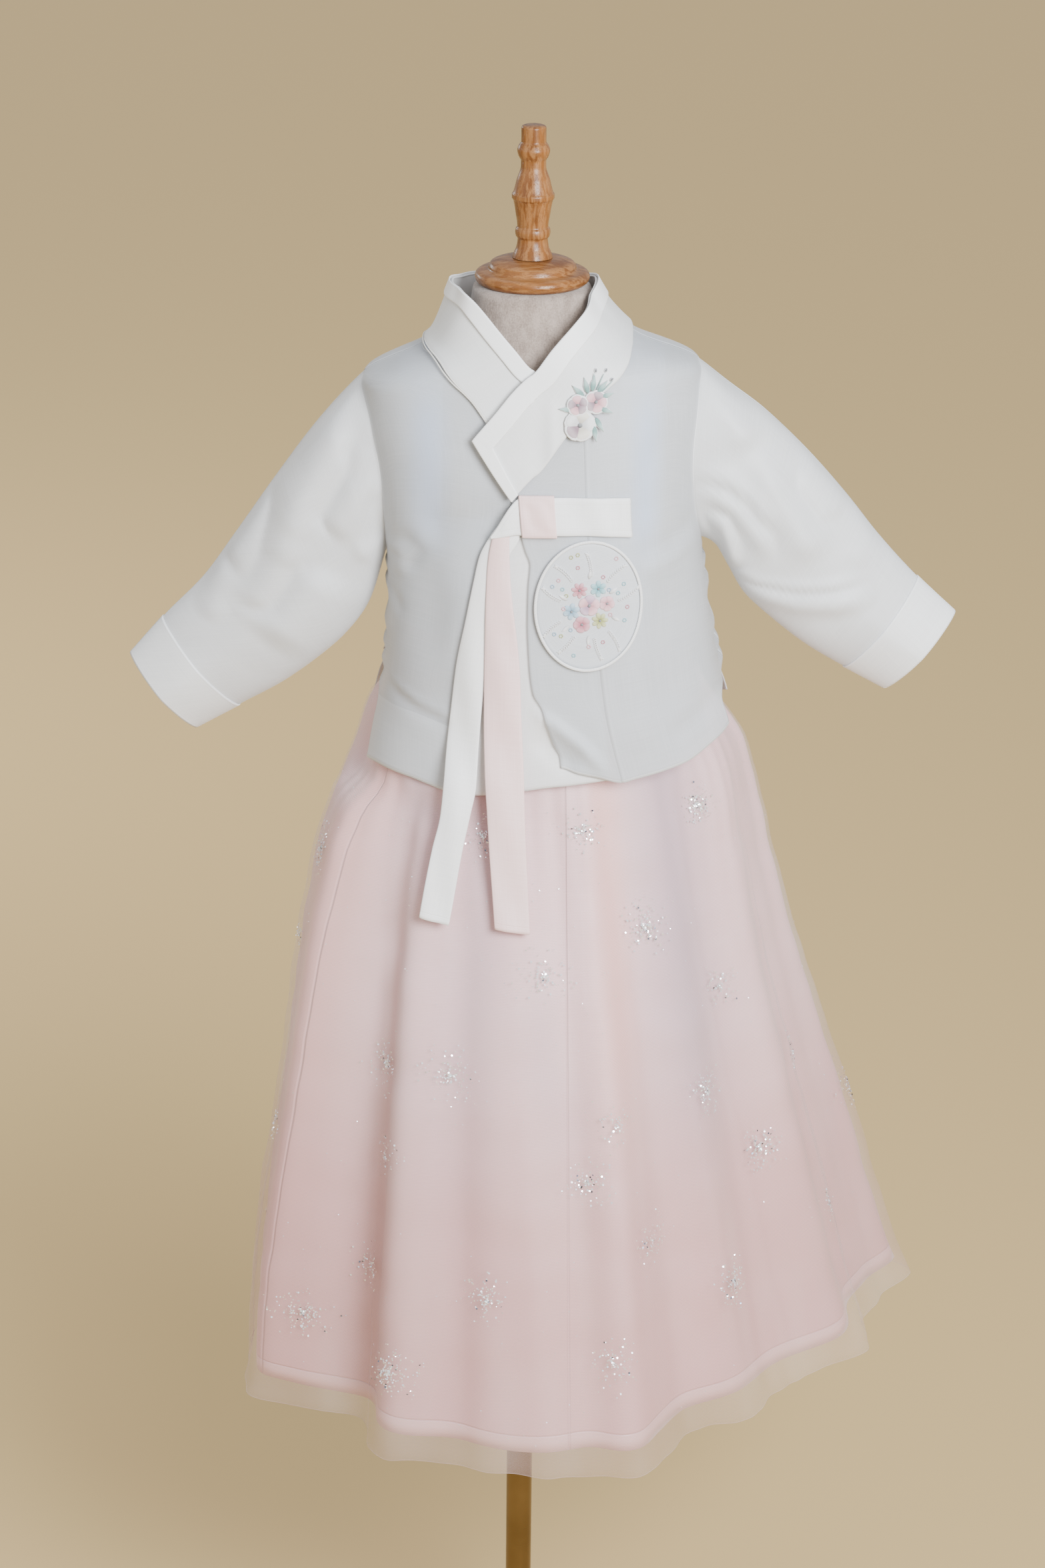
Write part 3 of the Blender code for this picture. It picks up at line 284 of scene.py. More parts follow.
# ---------------------------------------------------------------- dress form
# A padded, limbless child's torso with shoulder ends and a short neck, covered tight in a
# pinkish beige velvet. Only the neck shows, and dimly the chest through the thin jacket.
SHOULDER_LEAN = 0.048
FORM_POWER = 2.25
FORM = table(
    "height half_width front back",
    (0.700, 0.060, 0.048, 0.048),
    (0.704, 0.080, 0.066, 0.066),
    (0.716, 0.092, 0.075, 0.077),
    (0.745, 0.097, 0.079, 0.083),
    (0.800, 0.095, 0.076, 0.080),
    (0.860, 0.089, 0.069, 0.070),
    (0.920, 0.088, 0.067, 0.066),
    (0.980, 0.091, 0.070, 0.067),
    (1.030, 0.096, 0.069, 0.065),
    (1.070, 0.102, 0.064, 0.059),
    (1.095, 0.107, 0.058, 0.051),
    (1.112, 0.106, 0.0545, 0.048),
    (1.1225, 0.097, 0.0530, 0.047),
    (1.1315, 0.073, 0.0510, 0.0465),
    (1.139, 0.054, 0.048, 0.0445),
    (1.150, 0.0455, 0.0450, 0.0425),
    (1.165, 0.0425, 0.0425, 0.0415),
    (1.1725, 0.0410, 0.0410, 0.0405),
    (1.1750, 0.0375, 0.0375, 0.0375),
)


def ease(low, high, value):
    """0 below low, 1 above high, and a smooth rise between them."""
    u = min(1.0, max(0.0, (value - low) / (high - low)))
    return u * u * (3 - 2 * u)


def leaned(point):
    """The form leans a little on its pole: its left shoulder (+X) is the higher one."""
    share = ease(0.930, 1.050, point.z) * (1 - ease(1.135, 1.168, point.z))
    return Vector((point.x, point.y, point.z + SHOULDER_LEAN * point.x * share))


def section_point(turn, centre_x, half_width, front, back, power):
    """A point of a level section. Turn 0 is the front, a quarter turn the wearer's left."""
    s, c = sin(turn), cos(turn)
    across = copysign(abs(s) ** (2 / power), s) * half_width
    along = copysign(abs(c) ** (2 / power), c) * (front if c > 0 else back)
    return centre_x + across, -along


def form_surface(turn, height):
    widths = row_at(FORM, "half_width front back", "height", height)
    x, y = section_point(turn, 0.0, *widths, FORM_POWER)
    return leaned(Vector((x, y, height)))


def surface_normal(surface, u, v, u_step=0.008, v_step=0.0006):
    """The direction square to a surface at one of its points."""
    along = surface(u + u_step, v) - surface(u - u_step, v)
    up = surface(u, v + v_step) - surface(u, v - v_step)
    return along.cross(up).normalized()


def laid_grid(point_at, columns, rows, wraps=False):
    """A grid of cloth laid at point_at(across, up), both from 0 to 1. Its "cloth" map holds
    the metres along its threads, and its "rim" map the metres in from its nearest edges."""
    shape = bmesh.new()
    bmesh.ops.create_grid(shape, x_segments=columns, y_segments=rows, size=0.5)
    points = [[point_at(i / columns, j / rows) for i in range(columns + 1)]
              for j in range(rows + 1)]
    across, up = [[0.0] for _ in points], [[0.0] * (columns + 1)]
    for j, line in enumerate(points):
        for here, following in zip(line, line[1:]):
            across[j].append(across[j][-1] + (following - here).length)
        if j:
            up.append([run + (here - below).length
                       for run, here, below in zip(up[-1], line, points[j - 1])])
        if wraps:
            up[j] = [sum(up[j]) / (columns + 1)] * (columns + 1)
    cloth, rim = (shape.loops.layers.uv.new(name) for name in ("cloth", "rim"))
    for vertex in shape.verts:
        i, j = round((vertex.co.x + 0.5) * columns), round((vertex.co.y + 0.5) * rows)
        vertex.co = points[j][i]
        beside = min(across[j][i], across[j][-1] - across[j][i])
        beyond = min(up[j][i], up[-1][i] - up[j][i])
        for corner in vertex.link_loops:
            corner[cloth].uv = across[j][i], up[j][i]
            corner[rim].uv = beside, beyond
    if wraps:
        bmesh.ops.remove_doubles(shape, verts=shape.verts, dist=1e-6)
    return shape


velvet = Finish("beige velvet", (0.40, 0.33, 0.29), Roughness=0.9, Sheen_Weight=0.6,
                Sheen_Roughness=0.4)
ribs = velvet.grain(velvet.stretched(velvet.place(), 1400, 1400, 60), 1.0, 2.0)
crushed = velvet.grain(velvet.stretched(velvet.place(), 1, 1, 0.45), 160.0, 6.0)
pile = velvet.grain(velvet.place(), 900.0, 2.0)
shade = (crushed * 0.45 + ribs * 0.15 + pile * 0.4).rise(0.30, 0.66)
velvet.feed(Base_Color=velvet.tint(shade, (0.22, 0.168, 0.138), (0.39, 0.315, 0.268)))
velvet.relief(crushed * 0.5 + ribs * 0.3 + pile * 0.2, 0.0007)

FORM_LOW, FORM_HIGH = FORM["height"][0], FORM["height"][-1]
torso = laid_grid(lambda u, v: form_surface(tau * u, mix(FORM_LOW, FORM_HIGH, v)), 96, 190,
                  wraps=True)
bmesh.ops.holes_fill(torso, edges=torso.edges, sides=0)
piece("form_torso", torso, velvet, ["form_body"], sharp=50)

# ---------------------------------------------------------------- wooden cap and finial
# A lathe-turned cap closes the neck, and a turned finial is screwed through it. Both are
# varnished beech, with the grain running up the finial and across the cap.
CAP = table(
    "step height radius",
    (0, 1.1930, 0.0140),
    (1, 1.1926, 0.0190),
    (2, 1.1915, 0.0245),
    (3, 1.1895, 0.0290),
    (4, 1.1872, 0.0304),
    (5, 1.1862, 0.0306),
    (6, 1.1852, 0.0312),
    (7, 1.1846, 0.0340),
    (8, 1.1842, 0.0365),
    (9, 1.1825, 0.0392),
    (10, 1.1800, 0.0400),
    (11, 1.1775, 0.0392),
    (12, 1.1756, 0.0370),
)
FINIAL = table(
    "height radius",
    (1.1934, 0.0140),
    (1.1960, 0.0132),
    (1.2010, 0.0112),
    (1.2065, 0.0105),
    (1.2085, 0.0118),
    (1.2110, 0.0122),
    (1.2135, 0.0119),
    (1.2150, 0.0108),
    (1.2240, 0.0120),
    (1.2335, 0.0138),
    (1.2350, 0.0147),
    (1.2375, 0.0147),
    (1.2390, 0.0138),
    (1.2480, 0.0114),
    (1.2570, 0.0087),
    (1.2605, 0.0087),
    (1.2640, 0.0104),
    (1.2680, 0.0113),
    (1.2710, 0.0104),
    (1.2740, 0.0086),
    (1.2832, 0.0086),
    (1.2846, 0.0080),
    (1.2850, 0.0070),
)


def varnished_wood(name, grain_scale):
    """Orange-tan beech: darker growth lines and short pores along the grain, under varnish."""
    wood = Finish(name, (0.55, 0.29, 0.12), Roughness=0.42, Specular_IOR_Level=0.3,
                  Coat_Weight=0.10, Coat_Roughness=0.15)
    spot = wood.stretched(wood.place(), *grain_scale)
    lines = wood.grain(spot, 1.0, 5.0)
    broad = wood.grain(spot, 0.22, 2.0)
    pores = wood.grain(wood.stretched(spot, 7, 7, 5), 1.0, 1.0).rise(0.60, 0.72)
    tone = wood.tint(broad.rise(0.36, 0.64), (0.220, 0.083, 0.021), (0.138, 0.047, 0.011))
    tone = wood.tint(lines.rise(0.40, 0.62) * 0.6, tone, (0.36, 0.17, 0.062))
    wood.feed(Base_Color=wood.tint(pores * 0.5, tone, (0.26, 0.11, 0.04)),
              Roughness=lines * 0.16 + pores * 0.2 + 0.24)
    wood.relief(lines * 0.6 - pores, 0.0002)
    return wood


cap_rows = [row_at(CAP, "height radius", "step", k) for k in steps(0, 12, 60)]
cap_beech = varnished_wood("cap beech", (50, 260, 420))
piece("wooden_cap", turned(cap_rows, 128), cap_beech, ["neck_cap"], sharp=50)
FINIAL_LOW, FINIAL_HIGH = FINIAL["height"][0], FINIAL["height"][-1]
finial_rows = [(z, at(FINIAL, "radius", "height", z)) for z in steps(FINIAL_HIGH, FINIAL_LOW, 190)]
finial_beech = varnished_wood("finial beech", (420, 420, 38))
piece("wooden_finial", turned(finial_rows, 96), finial_beech, ["finial"], sharp=50)

# ---------------------------------------------------------------- skirt bodice and straps
# A plain white cotton band round the chest carries the skirt, hung from two shoulder
# straps sewn to its top edge. They show only as paler places through the jacket.
CLOTH_WALL, SEWING_THREAD = 0.0007, 0.0004
BODICE_OUT, BODICE_LOW, BODICE_HIGH = 0.0013, 0.926, 1.026
STRAP_FIRST_X, STRAP_LAST_X, STRAP_LOW = 0.060, 0.092, 1.0268
STRAP_OUT, STRAP_SLACK = 0.0017, 0.0016


def woven(name, colour, shadow, thread=0.0005, slub=0.5, **constants):
    """Fine plain-woven cloth: crossing threads of uneven thickness along the cloth's own map."""
    finish = Finish(name, colour, **constants)
    finish.map = finish.cloth_map("cloth")
    finish.across, finish.up, _ = finish.parts(finish.map)
    warp = finish.grain(finish.stretched(finish.map, 0.6 / thread, 22, 1), 1.0, 2.0)
    weft = finish.grain(finish.stretched(finish.map, 22, 0.6 / thread, 1), 1.0, 2.0)
    finish.threads = (warp + weft) * 0.5
    finish.slubs = finish.threads.rise(0.40, 0.62)
    soft = finish.grain(finish.place(), 26.0, 3.0)
    uneven_tone = finish.slubs * slub + soft * (1 - slub)
    finish.tone = finish.tint(uneven_tone.rise(0.15, 0.85), shadow, colour)
    finish.feed(Base_Color=finish.tone)
    return finish


def stitched(finish, from_edge, length=0.0026, which=0):
    """A mask of stitches that run along an edge of the cloth, this far in from it."""
    rim = finish.parts(finish.cloth_map("rim"))
    run = (finish.up, finish.across)[which]
    return rim[which].near(from_edge, SEWING_THREAD) * run.wave(length).rise(0.25, 0.45)


cotton = woven("white cotton", (0.66, 0.77, 0.97), (0.61, 0.72, 0.93), Roughness=0.75,
               Sheen_Weight=0.2)
seams = stitched(cotton, 0.003, which=1)
cotton.relief(cotton.threads - seams * 0.8, 0.0004)


def bodice_point(u, v):
    turn, height = tau * u, mix(BODICE_LOW, BODICE_HIGH, v)
    return form_surface(turn, height) + surface_normal(form_surface, turn, height) * BODICE_OUT


def form_turn(x, height):
    across = max(-1.0, min(1.0, x / at(FORM, "half_width", "height", height)))
    return asin(copysign(abs(across) ** (FORM_POWER / 2), across))


def ridge_height(x):
    """The height at which the form's shoulder has this x."""
    low, high = 1.095, 1.139
    for _ in range(30):
        middle = (low + high) / 2
        if at(FORM, "half_width", "height", middle) > abs(x):
            low = middle
        else:
            high = middle
    return low


def strap_point(side, share, along):
    x = mix(STRAP_FIRST_X, STRAP_LAST_X, share if side > 0 else 1 - share)
    height = mix(ridge_height(x) - 0.00002, STRAP_LOW, abs(along) ** 1.6)
    turn = form_turn(side * x, height)
    turn = turn if along <= 0 else side * pi - turn
    out = STRAP_OUT + STRAP_SLACK * ease(0.1, 0.5, abs(along))
    return form_surface(turn, height) + surface_normal(form_surface, turn, height, 0.03) * out


band = laid_grid(bodice_point, 96, 16, wraps=True)
bodice = piece("bodice_band", band, cotton, ["skirt_bodice"], CLOTH_WALL)
for side, name in ((1, "left"), (-1, "right")):
    strap = laid_grid(lambda u, v: strap_point(side, u, 2 * v - 1), 8, 40)
    strap = piece(f"bodice_strap_{name}", strap, cotton, [f"shoulder_strap_{name}"],
                  CLOTH_WALL)

# ---------------------------------------------------------------- satin skirt
# Flared panels of pale pink satin, gathered into the bodice band and bound at the hem.
# They hang in deep soft folds from the jacket's edge, and swing out further on the left.
SKIRT_TOP, SATIN_HEM, TULLE_HEM = 0.934, 0.362, 0.346
HEM_CENTRE_X = 0.040
WAIST_HALF_WIDTH, WAIST_FRONT, WAIST_BACK = 0.0913, 0.0704, 0.0694
HEM_PLAN = table(
    "turn radius",
    (-180.0, 0.2250),
    (-150.0, 0.2350),
    (-120.0, 0.2410),
    (-90.0, 0.2350),
    (-76.0, 0.2430),
    (-68.0, 0.2500),
    (-62.0, 0.2370),
    (-55.0, 0.2230),
    (-46.0, 0.2120),
    (-40.0, 0.2180),
    (-32.0, 0.2150),
    (-22.0, 0.2070),
    (-2.0, 0.2050),
    (7.0, 0.2050),
    (13.0, 0.1980),
    (19.0, 0.1860),
    (31.0, 0.1700),
    (50.0, 0.1650),
    (67.0, 0.1800),
    (81.0, 0.2020),
    (92.0, 0.2180),
    (103.0, 0.2400),
    (110.0, 0.2740),
    (119.0, 0.2620),
    (135.0, 0.2480),
    (155.0, 0.2330),
    (180.0, 0.2250),
)
SPREAD = table(
    "height right front left back",
    (0.346, 1.03, 1.02, 1.03, 1.02),
    (0.362, 1.00, 1.00, 1.00, 1.00),
    (0.406, 0.99, 0.92, 0.92, 0.95),
    (0.476, 0.93, 0.81, 0.82, 0.86),
    (0.575, 0.80, 0.66, 0.67, 0.72),
    (0.672, 0.70, 0.48, 0.53, 0.56),
    (0.767, 0.545, 0.28, 0.42, 0.39),
    (0.823, 0.36, 0.17, 0.355, 0.26),
    (0.866, 0.215, 0.10, 0.22, 0.17),
    (0.884, 0.10, 0.07, 0.17, 0.12),
    (0.910, 0.04, 0.03, 0.08, 0.05),
    (0.934, 0.00, 0.00, 0.00, 0.00),
)
FOLDS = table(
    "hem_turn waist_turn depth width",
    (-68.0, -66.0, 0.0060, 7.0),
    (-50.0, -50.0, -0.0110, 8.0),
    (-37.0, -41.0, 0.0080, 7.0),
    (-27.0, -24.0, -0.0030, 6.0),
    (-12.0, -12.0, 0.0050, 11.0),
    (3.0, 6.0, -0.0070, 6.0),
    (13.0, 16.0, 0.0090, 6.0),
    (30.0, 28.0, -0.0050, 9.0),
    (47.0, 42.0, 0.0055, 10.0),
    (64.0, 58.0, -0.0055, 8.0),
    (81.0, 74.0, 0.0080, 7.0),
    (95.0, 90.0, -0.0080, 6.0),
    (125.0, 120.0, -0.0090, 8.0),
    (141.0, 138.0, 0.0080, 8.0),
    (157.0, 156.0, -0.0100, 8.0),
    (172.0, 172.0, 0.0080, 8.0),
    (189.0, 190.0, -0.0100, 8.0),
    (206.0, 208.0, 0.0080, 8.0),
    (222.0, 224.0, -0.0090, 8.0),
    (238.0, 240.0, 0.0070, 7.0),
    (254.0, 256.0, -0.0080, 7.0),
    (270.0, 272.0, 0.0050, 7.0),
)
FOLD_REACH = 3
GATHERS, GATHER_DEPTH = 38, 0.0005
JACKET_POWER = 2.5
JACKET = table(
    "height centre_x half_width front back",
    (0.826, 0.020, 0.1415, 0.1005, 0.127),
    (0.832, 0.020, 0.140, 0.100, 0.125),
    (0.866, 0.020, 0.131, 0.096, 0.113),
    (0.890, 0.018, 0.1235, 0.093, 0.102),
    (0.944, 0.014, 0.115, 0.087, 0.085),
    (0.990, 0.0105, 0.112, 0.083, 0.078),
    (1.020, 0.0065, 0.113, 0.080, 0.077),
    (1.050, 0.004, 0.1155, 0.076, 0.073),
    (1.090, 0.002, 0.1195, 0.068, 0.062),
    (1.117, 0.000, 0.119, 0.062, 0.054),
    (1.126, 0.000, 0.100, 0.0605, 0.053),
    (1.135, 0.000, 0.074, 0.058, 0.052),
    (1.150, -0.002, 0.062, 0.054, 0.050),
    (1.170, -0.005, 0.0540, 0.050, 0.048),
    (1.195, -0.007, 0.0495, 0.047, 0.046),
)
JACKET_SECTION = "centre_x half_width front back"
PINCH_CLEAR, PINCH_BACK = 0.0046, 0.03


def fold_depth(turn_degrees, height):
    """How far the folds move the skirt out (or in) here; they fade away towards the waist."""
    up = (height - SATIN_HEM) / (SKIRT_TOP - SATIN_HEM)
    total = 0.0
    for hem_turn, waist_turn, depth, width in FOLDS.rows():
        off = (turn_degrees - mix(hem_turn, waist_turn, up) + 180) % 360 - 180
        if abs(off) < FOLD_REACH * width:
            total += depth * exp(-((off / width) ** 2))
    drop = 1 - ease(0.480, 0.905, height)
    return total * (0.15 + 0.85 * drop) * (1 - ease(0.90, 0.93, height))


def pinched(point):
    """The jacket's front holds the skirt in as far down as its hem."""
    centre, half_width, front, _ = row_at(JACKET, JACKET_SECTION, "height", point.z)
    x, y = point.x - centre, point.y
    if y > PINCH_BACK:
        return point
    reach = (abs(x) / (half_width - PINCH_CLEAR)) ** JACKET_POWER
    reach += (abs(min(y, 0)) / (front - PINCH_CLEAR)) ** JACKET_POWER
    if reach <= 1:
        return point
    scale = reach ** (-1 / JACKET_POWER)
    turn = degrees(atan2(x / half_width, -y / front))
    on_side = ease(-97, -80, turn) * (1 - ease(76, 92, turn))
    held = on_side * ease(0.800, 0.828, point.z)
    return point.lerp(Vector((centre + x * scale, y * scale, point.z)), held)


def uneven(point, size, depth):
    """The small give of worn cloth, in soft patches of this size."""
    return depth * noise.noise(point / size)


def skirt_surface(turn, height, out=0.0):
    """A point of the satin skirt, moved straight out from its middle."""
    turn_degrees = (degrees(turn) + 180) % 360 - 180
    waist_x, waist_y = section_point(turn, 0.0, WAIST_HALF_WIDTH, WAIST_FRONT, WAIST_BACK,
                                     FORM_POWER)
    radius = at(HEM_PLAN, "radius", "turn", turn_degrees)
    hem_x, hem_y = HEM_CENTRE_X + radius * sin(turn), -radius * cos(turn)
    sides = {
        "left": max(0.0, sin(turn)) ** 2,
        "right": max(0.0, -sin(turn)) ** 2,
        "front": max(0.0, cos(turn)) ** 2,
        "back": max(0.0, -cos(turn)) ** 2,
    }
    spread = sum(share * at(SPREAD, side, "height", height) for side, share in sides.items())
    point = pinched(Vector((mix(waist_x, hem_x, spread), mix(waist_y, hem_y, spread), height)))
    move = fold_depth(turn_degrees, height) * (1 - 0.8 * ease(0.80, 0.85, height)) + out
    gathered = ease(0.700, 0.830, height) * (1 - ease(0.905, 0.925, height))
    move += GATHER_DEPTH * gathered * sin(GATHERS * turn + 3 * sin(5 * turn))
    move += uneven(point + Vector((0, 0, height)), 0.055, 0.0016) * (1 - ease(0.83, 0.90, height))
    return point + Vector((sin(turn), -cos(turn), 0)) * move


PINK, PEACH_PAINTED_SHADING, LILAC_PAINTED_SHADING = (0.83, 0.55, 0.57), (0.85, 0.45, 0.41), (0.52, 0.355, 0.42)
satin = woven("pale pink satin", PINK, (0.79, 0.50, 0.52), thread=0.0004, slub=0.35, Roughness=0.42,
              Sheen_Weight=0.25, Sheen_Roughness=0.35)
x, y, z = satin.parts(satin.place())
turn = (x - HEM_CENTRE_X * 0.5).math("ARCTAN2", y * -1.0) * (180 / pi)
# Painted light and shade: peach and lilac zones, set by turn and height and in soft random patches,
# are painted into the satin's colour for the light and shade on its folds.
painted_shading_patches = satin.grain(satin.stretched(satin.place(), 9, 9, 2.2), 1.0, 2.0)
warm_painted_shading = turn.near(21.0, 13.0) * z.rise(0.50, 0.66) + turn.near(-66.0, 16.0) * 0.9
cool_painted_shading = turn.near(50.0, 26.0) * z.rise(0.42, 0.62) + turn.near(-24.0, 15.0) * 0.5
cool_painted_shading = cool_painted_shading + painted_shading_patches.rise(0.55, 0.75) * 0.6
tone = satin.tint(cool_painted_shading.capped(), satin.tone, LILAC_PAINTED_SHADING)
tone = satin.tint(warm_painted_shading.capped() * 0.8, tone, PEACH_PAINTED_SHADING)
# Painted shade: the satin is painted darker and deeper pink towards its hem.
tone = satin.tint(z.rise(0.74, 0.42) * 0.88, tone, (0.655, 0.37, 0.36))
BINDING_WIDTH = 0.0122
bound = satin.up.rise(BINDING_WIDTH - 0.0004, BINDING_WIDTH, 1.0, 0.0)
hem_line = satin.up.near(BINDING_WIDTH, 0.0011)
PANEL_TURNS = (-65.0, 4.5, 128.0, -160.0)
joins = sum((turn.near(angle, 0.42) for angle in PANEL_TURNS), start=turn * 0.0)
tone = satin.tint(bound * 0.35, tone, (0.90, 0.66, 0.64))
tone = satin.tint(joins.capped() * 0.65 + hem_line * 0.35, tone, (0.77, 0.46, 0.46))
satin.feed(Base_Color=tone, Roughness=satin.slubs * 0.12 + 0.36)
satin.relief(satin.threads * 0.25 + bound * 0.8 - joins * 1.2 - hem_line * 0.6, 0.0006)

under = laid_grid(lambda u, v: skirt_surface(tau * u, mix(SATIN_HEM, SKIRT_TOP, v)), 300, 72,
                  wraps=True)
under = piece("satin_underskirt", under, satin, ["skirt_satin"], CLOTH_WALL)

# ---------------------------------------------------------------- tulle overskirt
# A full layer of pale pink net, gathered with the satin and left raw at its rippled hem,
# which hangs lower than the satin. Glitter is glued to it in scattered bursts.
TULLE_WALL, TULLE_CLEAR = 0.0003, 0.0014
TULLE_FINE = table(
    "turn slant depth width",
    (-84.0, 4.0, 0.0030, 2.2),
    (-70.0, -3.0, 0.0022, 2.0),
    (-47.0, 5.0, 0.0020, 1.8),
    (-31.0, -4.0, 0.0018, 1.6),
    (-8.0, 3.0, 0.0016, 2.0),
    (22.0, -5.0, 0.0022, 1.8),
    (40.0, 6.0, 0.0020, 2.2),
    (58.0, 8.0, 0.0028, 2.0),
    (73.0, 10.0, 0.0034, 2.4),
    (88.0, 8.0, 0.0030, 2.2),
    (104.0, -4.0, 0.0024, 2.4),
    (131.0, 5.0, 0.0026, 2.2),
    (149.0, -5.0, 0.0024, 2.4),
    (165.0, 4.0, 0.0026, 2.0),
    (183.0, -4.0, 0.0024, 2.2),
    (201.0, 5.0, 0.0026, 2.4),
    (218.0, -5.0, 0.0024, 2.2),
    (236.0, 4.0, 0.0026, 2.0),
    (252.0, -4.0, 0.0024, 2.4),
)


def tulle_point(turn, height, out=0.0):
    """The tulle stands off the satin, more so towards its hem, in finer folds of its own."""
    low = 1 - ease(0.42, 0.84, height)
    ripple = 0.0022 * sin(9 * turn + 0.5) + 0.0016 * sin(17 * turn + 1.3) + 0.0011 * sin(37 * turn)
    away = 0.0019 + (0.0058 - 0.0030 * max(0.0, -sin(turn)) ** 2) * low
    away += ripple * (1 - ease(0.40, 0.62, height))
    fade = (0.35 + 0.65 * low) * (1 - ease(0.80, 0.86, height))
    for middle, slant, depth, width in TULLE_FINE.rows():
        off = (degrees(turn) - middle - slant * (0.6 - height) / 0.25 + 180) % 360 - 180
        if abs(off) < FOLD_REACH * width:
            away += depth * exp(-((off / width) ** 2)) * fade
    return skirt_surface(turn, height, max(TULLE_CLEAR, away) + out)


NET_HOLE = 0.0011
tulle = Finish("pale pink net", (0.90, 0.79, 0.80), Roughness=0.45, Sheen_Weight=0.5,
               Sheen_Roughness=0.3, Sheen_Tint=(1.0, 0.95, 0.96, 1.0))
across, up, _ = tulle.parts(tulle.cloth_map("cloth"))
lines = (across + up * 0.5).wave(NET_HOLE) + (across - up * 0.5).wave(NET_HOLE) + up.wave(NET_HOLE)
mesh_of_net = lines.rise(1.3, 2.3)
raw_edge = up.rise(0.0, 0.0012, 0.14, 0.0)
haze = tulle.grain(tulle.stretched(tulle.place(), 16, 16, 5), 1.0, 3.0)
_, _, net_height = tulle.parts(tulle.place())
# Painted shade: below about 0.5 to 0.66 m the net is painted darker and pinker, in soft patches,
# like the satin under it.
net_tone = tulle.tint(haze.rise(0.35, 0.68), (0.82, 0.57, 0.57), (0.91, 0.71, 0.69))
tulle.feed(
    Base_Color=tulle.tint(net_height.rise(0.50, 0.66), net_tone, (0.90, 0.79, 0.80)),
    Alpha=mesh_of_net * 0.10 + haze.rise(0.3, 0.7) * 0.05 + raw_edge + 0.05,
)
tulle.relief(lines * 0.33, 0.0002)

over = laid_grid(lambda u, v: tulle_point(tau * u, mix(TULLE_HEM, SKIRT_TOP, v)), 420, 80,
                 wraps=True)
over = piece("tulle_overskirt", over, tulle, ["skirt_tulle"], TULLE_WALL)

# ---------------------------------------------------------------- glitter
# Bursts of tiny silver flakes glued to the tulle, with a few darker sequins in each, and a
# thin scatter between them. The bursts are spread over the whole skirt.
GLITTER = table(
    "turn height spread flakes",
    (-76.0, 0.765, 0.022, 110),
    (-82.0, 0.690, 0.016, 50),
    (-47.0, 0.628, 0.021, 80),
    (-27.0, 0.632, 0.022, 80),
    (-42.0, 0.565, 0.020, 60),
    (-72.0, 0.560, 0.020, 55),
    (-60.0, 0.423, 0.021, 110),
    (-36.0, 0.412, 0.021, 120),
    (-48.0, 0.470, 0.020, 60),
    (-17.0, 0.474, 0.022, 80),
    (6.0, 0.560, 0.020, 70),
    (-1.0, 0.705, 0.019, 60),
    (33.0, 0.728, 0.020, 100),
    (14.0, 0.600, 0.022, 40),
    (47.0, 0.600, 0.022, 90),
    (67.0, 0.535, 0.020, 110),
    (62.0, 0.668, 0.018, 60),
    (22.0, 0.505, 0.022, 70),
    (46.0, 0.453, 0.021, 120),
    (84.0, 0.470, 0.018, 60),
    (9.0, 0.430, 0.021, 60),
    (63.0, 0.806, 0.016, 90),
    (14.0, 0.804, 0.014, 60),
    (-18.0, 0.800, 0.014, 40),
    (88.0, 0.590, 0.018, 60),
    (110.0, 0.520, 0.022, 90),
    (128.0, 0.700, 0.020, 80),
    (122.0, 0.420, 0.022, 80),
    (146.0, 0.575, 0.022, 90),
    (155.0, 0.445, 0.020, 70),
    (163.0, 0.760, 0.018, 80),
    (176.0, 0.620, 0.022, 100),
    (188.0, 0.470, 0.020, 80),
    (200.0, 0.700, 0.020, 80),
    (211.0, 0.545, 0.022, 90),
    (222.0, 0.415, 0.020, 80),
    (230.0, 0.650, 0.020, 80),
    (243.0, 0.510, 0.022, 70),
    (250.0, 0.760, 0.018, 80),
    (259.0, 0.600, 0.020, 60),
    (264.0, 0.450, 0.020, 80),
)
FLAKES_FOR_EACH, STRAY_BATCHES, FLAKES_IN_BATCH = 2, 12, 75
GLUE, FLAKE_TIP = 0.0005, 0.6
FLAKE_RADIUS, SEQUIN_RADIUS = 0.00056, 0.00078
DARK_SHARE, BURST_SPREAD, LOWEST_FLAKE = 0.035, 0.85, TULLE_HEM + 0.004

silver = Finish("silver glitter", (0.95, 0.95, 0.97), Metallic=0.55, Roughness=0.2)
facets = silver.grain(silver.place(), 700.0, 1.0)
silver.feed(Base_Color=silver.tint(facets.rise(0.4, 0.6), (0.98, 0.93, 0.95), (0.90, 0.96, 1.0)),
            Roughness=facets * 0.2 + 0.12)
dark_sequin = Finish("dark sequin", (0.16, 0.17, 0.22), Metallic=0.7, Roughness=0.25)
facets = dark_sequin.grain(dark_sequin.place(), 500.0, 1.0)
dark_sequin.feed(
    Base_Color=dark_sequin.tint(facets.rise(0.4, 0.6), (0.10, 0.10, 0.13), (0.30, 0.38, 0.48))
)


def flake(shape, turn, height, radius, tint, rng):
    """One six-sided flake, glued on the tulle and tipped any way."""
    centre = tulle_point(turn, height, GLUE)
    ahead = (tulle_point(turn + 0.01, height, GLUE) - centre).normalized()
    upward = (tulle_point(turn, height + 0.002, GLUE) - centre).normalized()
    off = ahead.cross(upward).normalized()
    tip = Vector([rng.uniform(-1, 1) for _ in range(3)]) * FLAKE_TIP
    off = (off + tip).normalized()
    turned_to = off.to_track_quat("Z", "Y").to_matrix().to_4x4()
    made = bmesh.ops.create_circle(shape, cap_ends=True, segments=6, radius=radius,
                                   matrix=Matrix.Translation(centre) @ turned_to)
    for face in {face for vertex in made["verts"] for face in vertex.link_faces}:
        face.material_index = tint


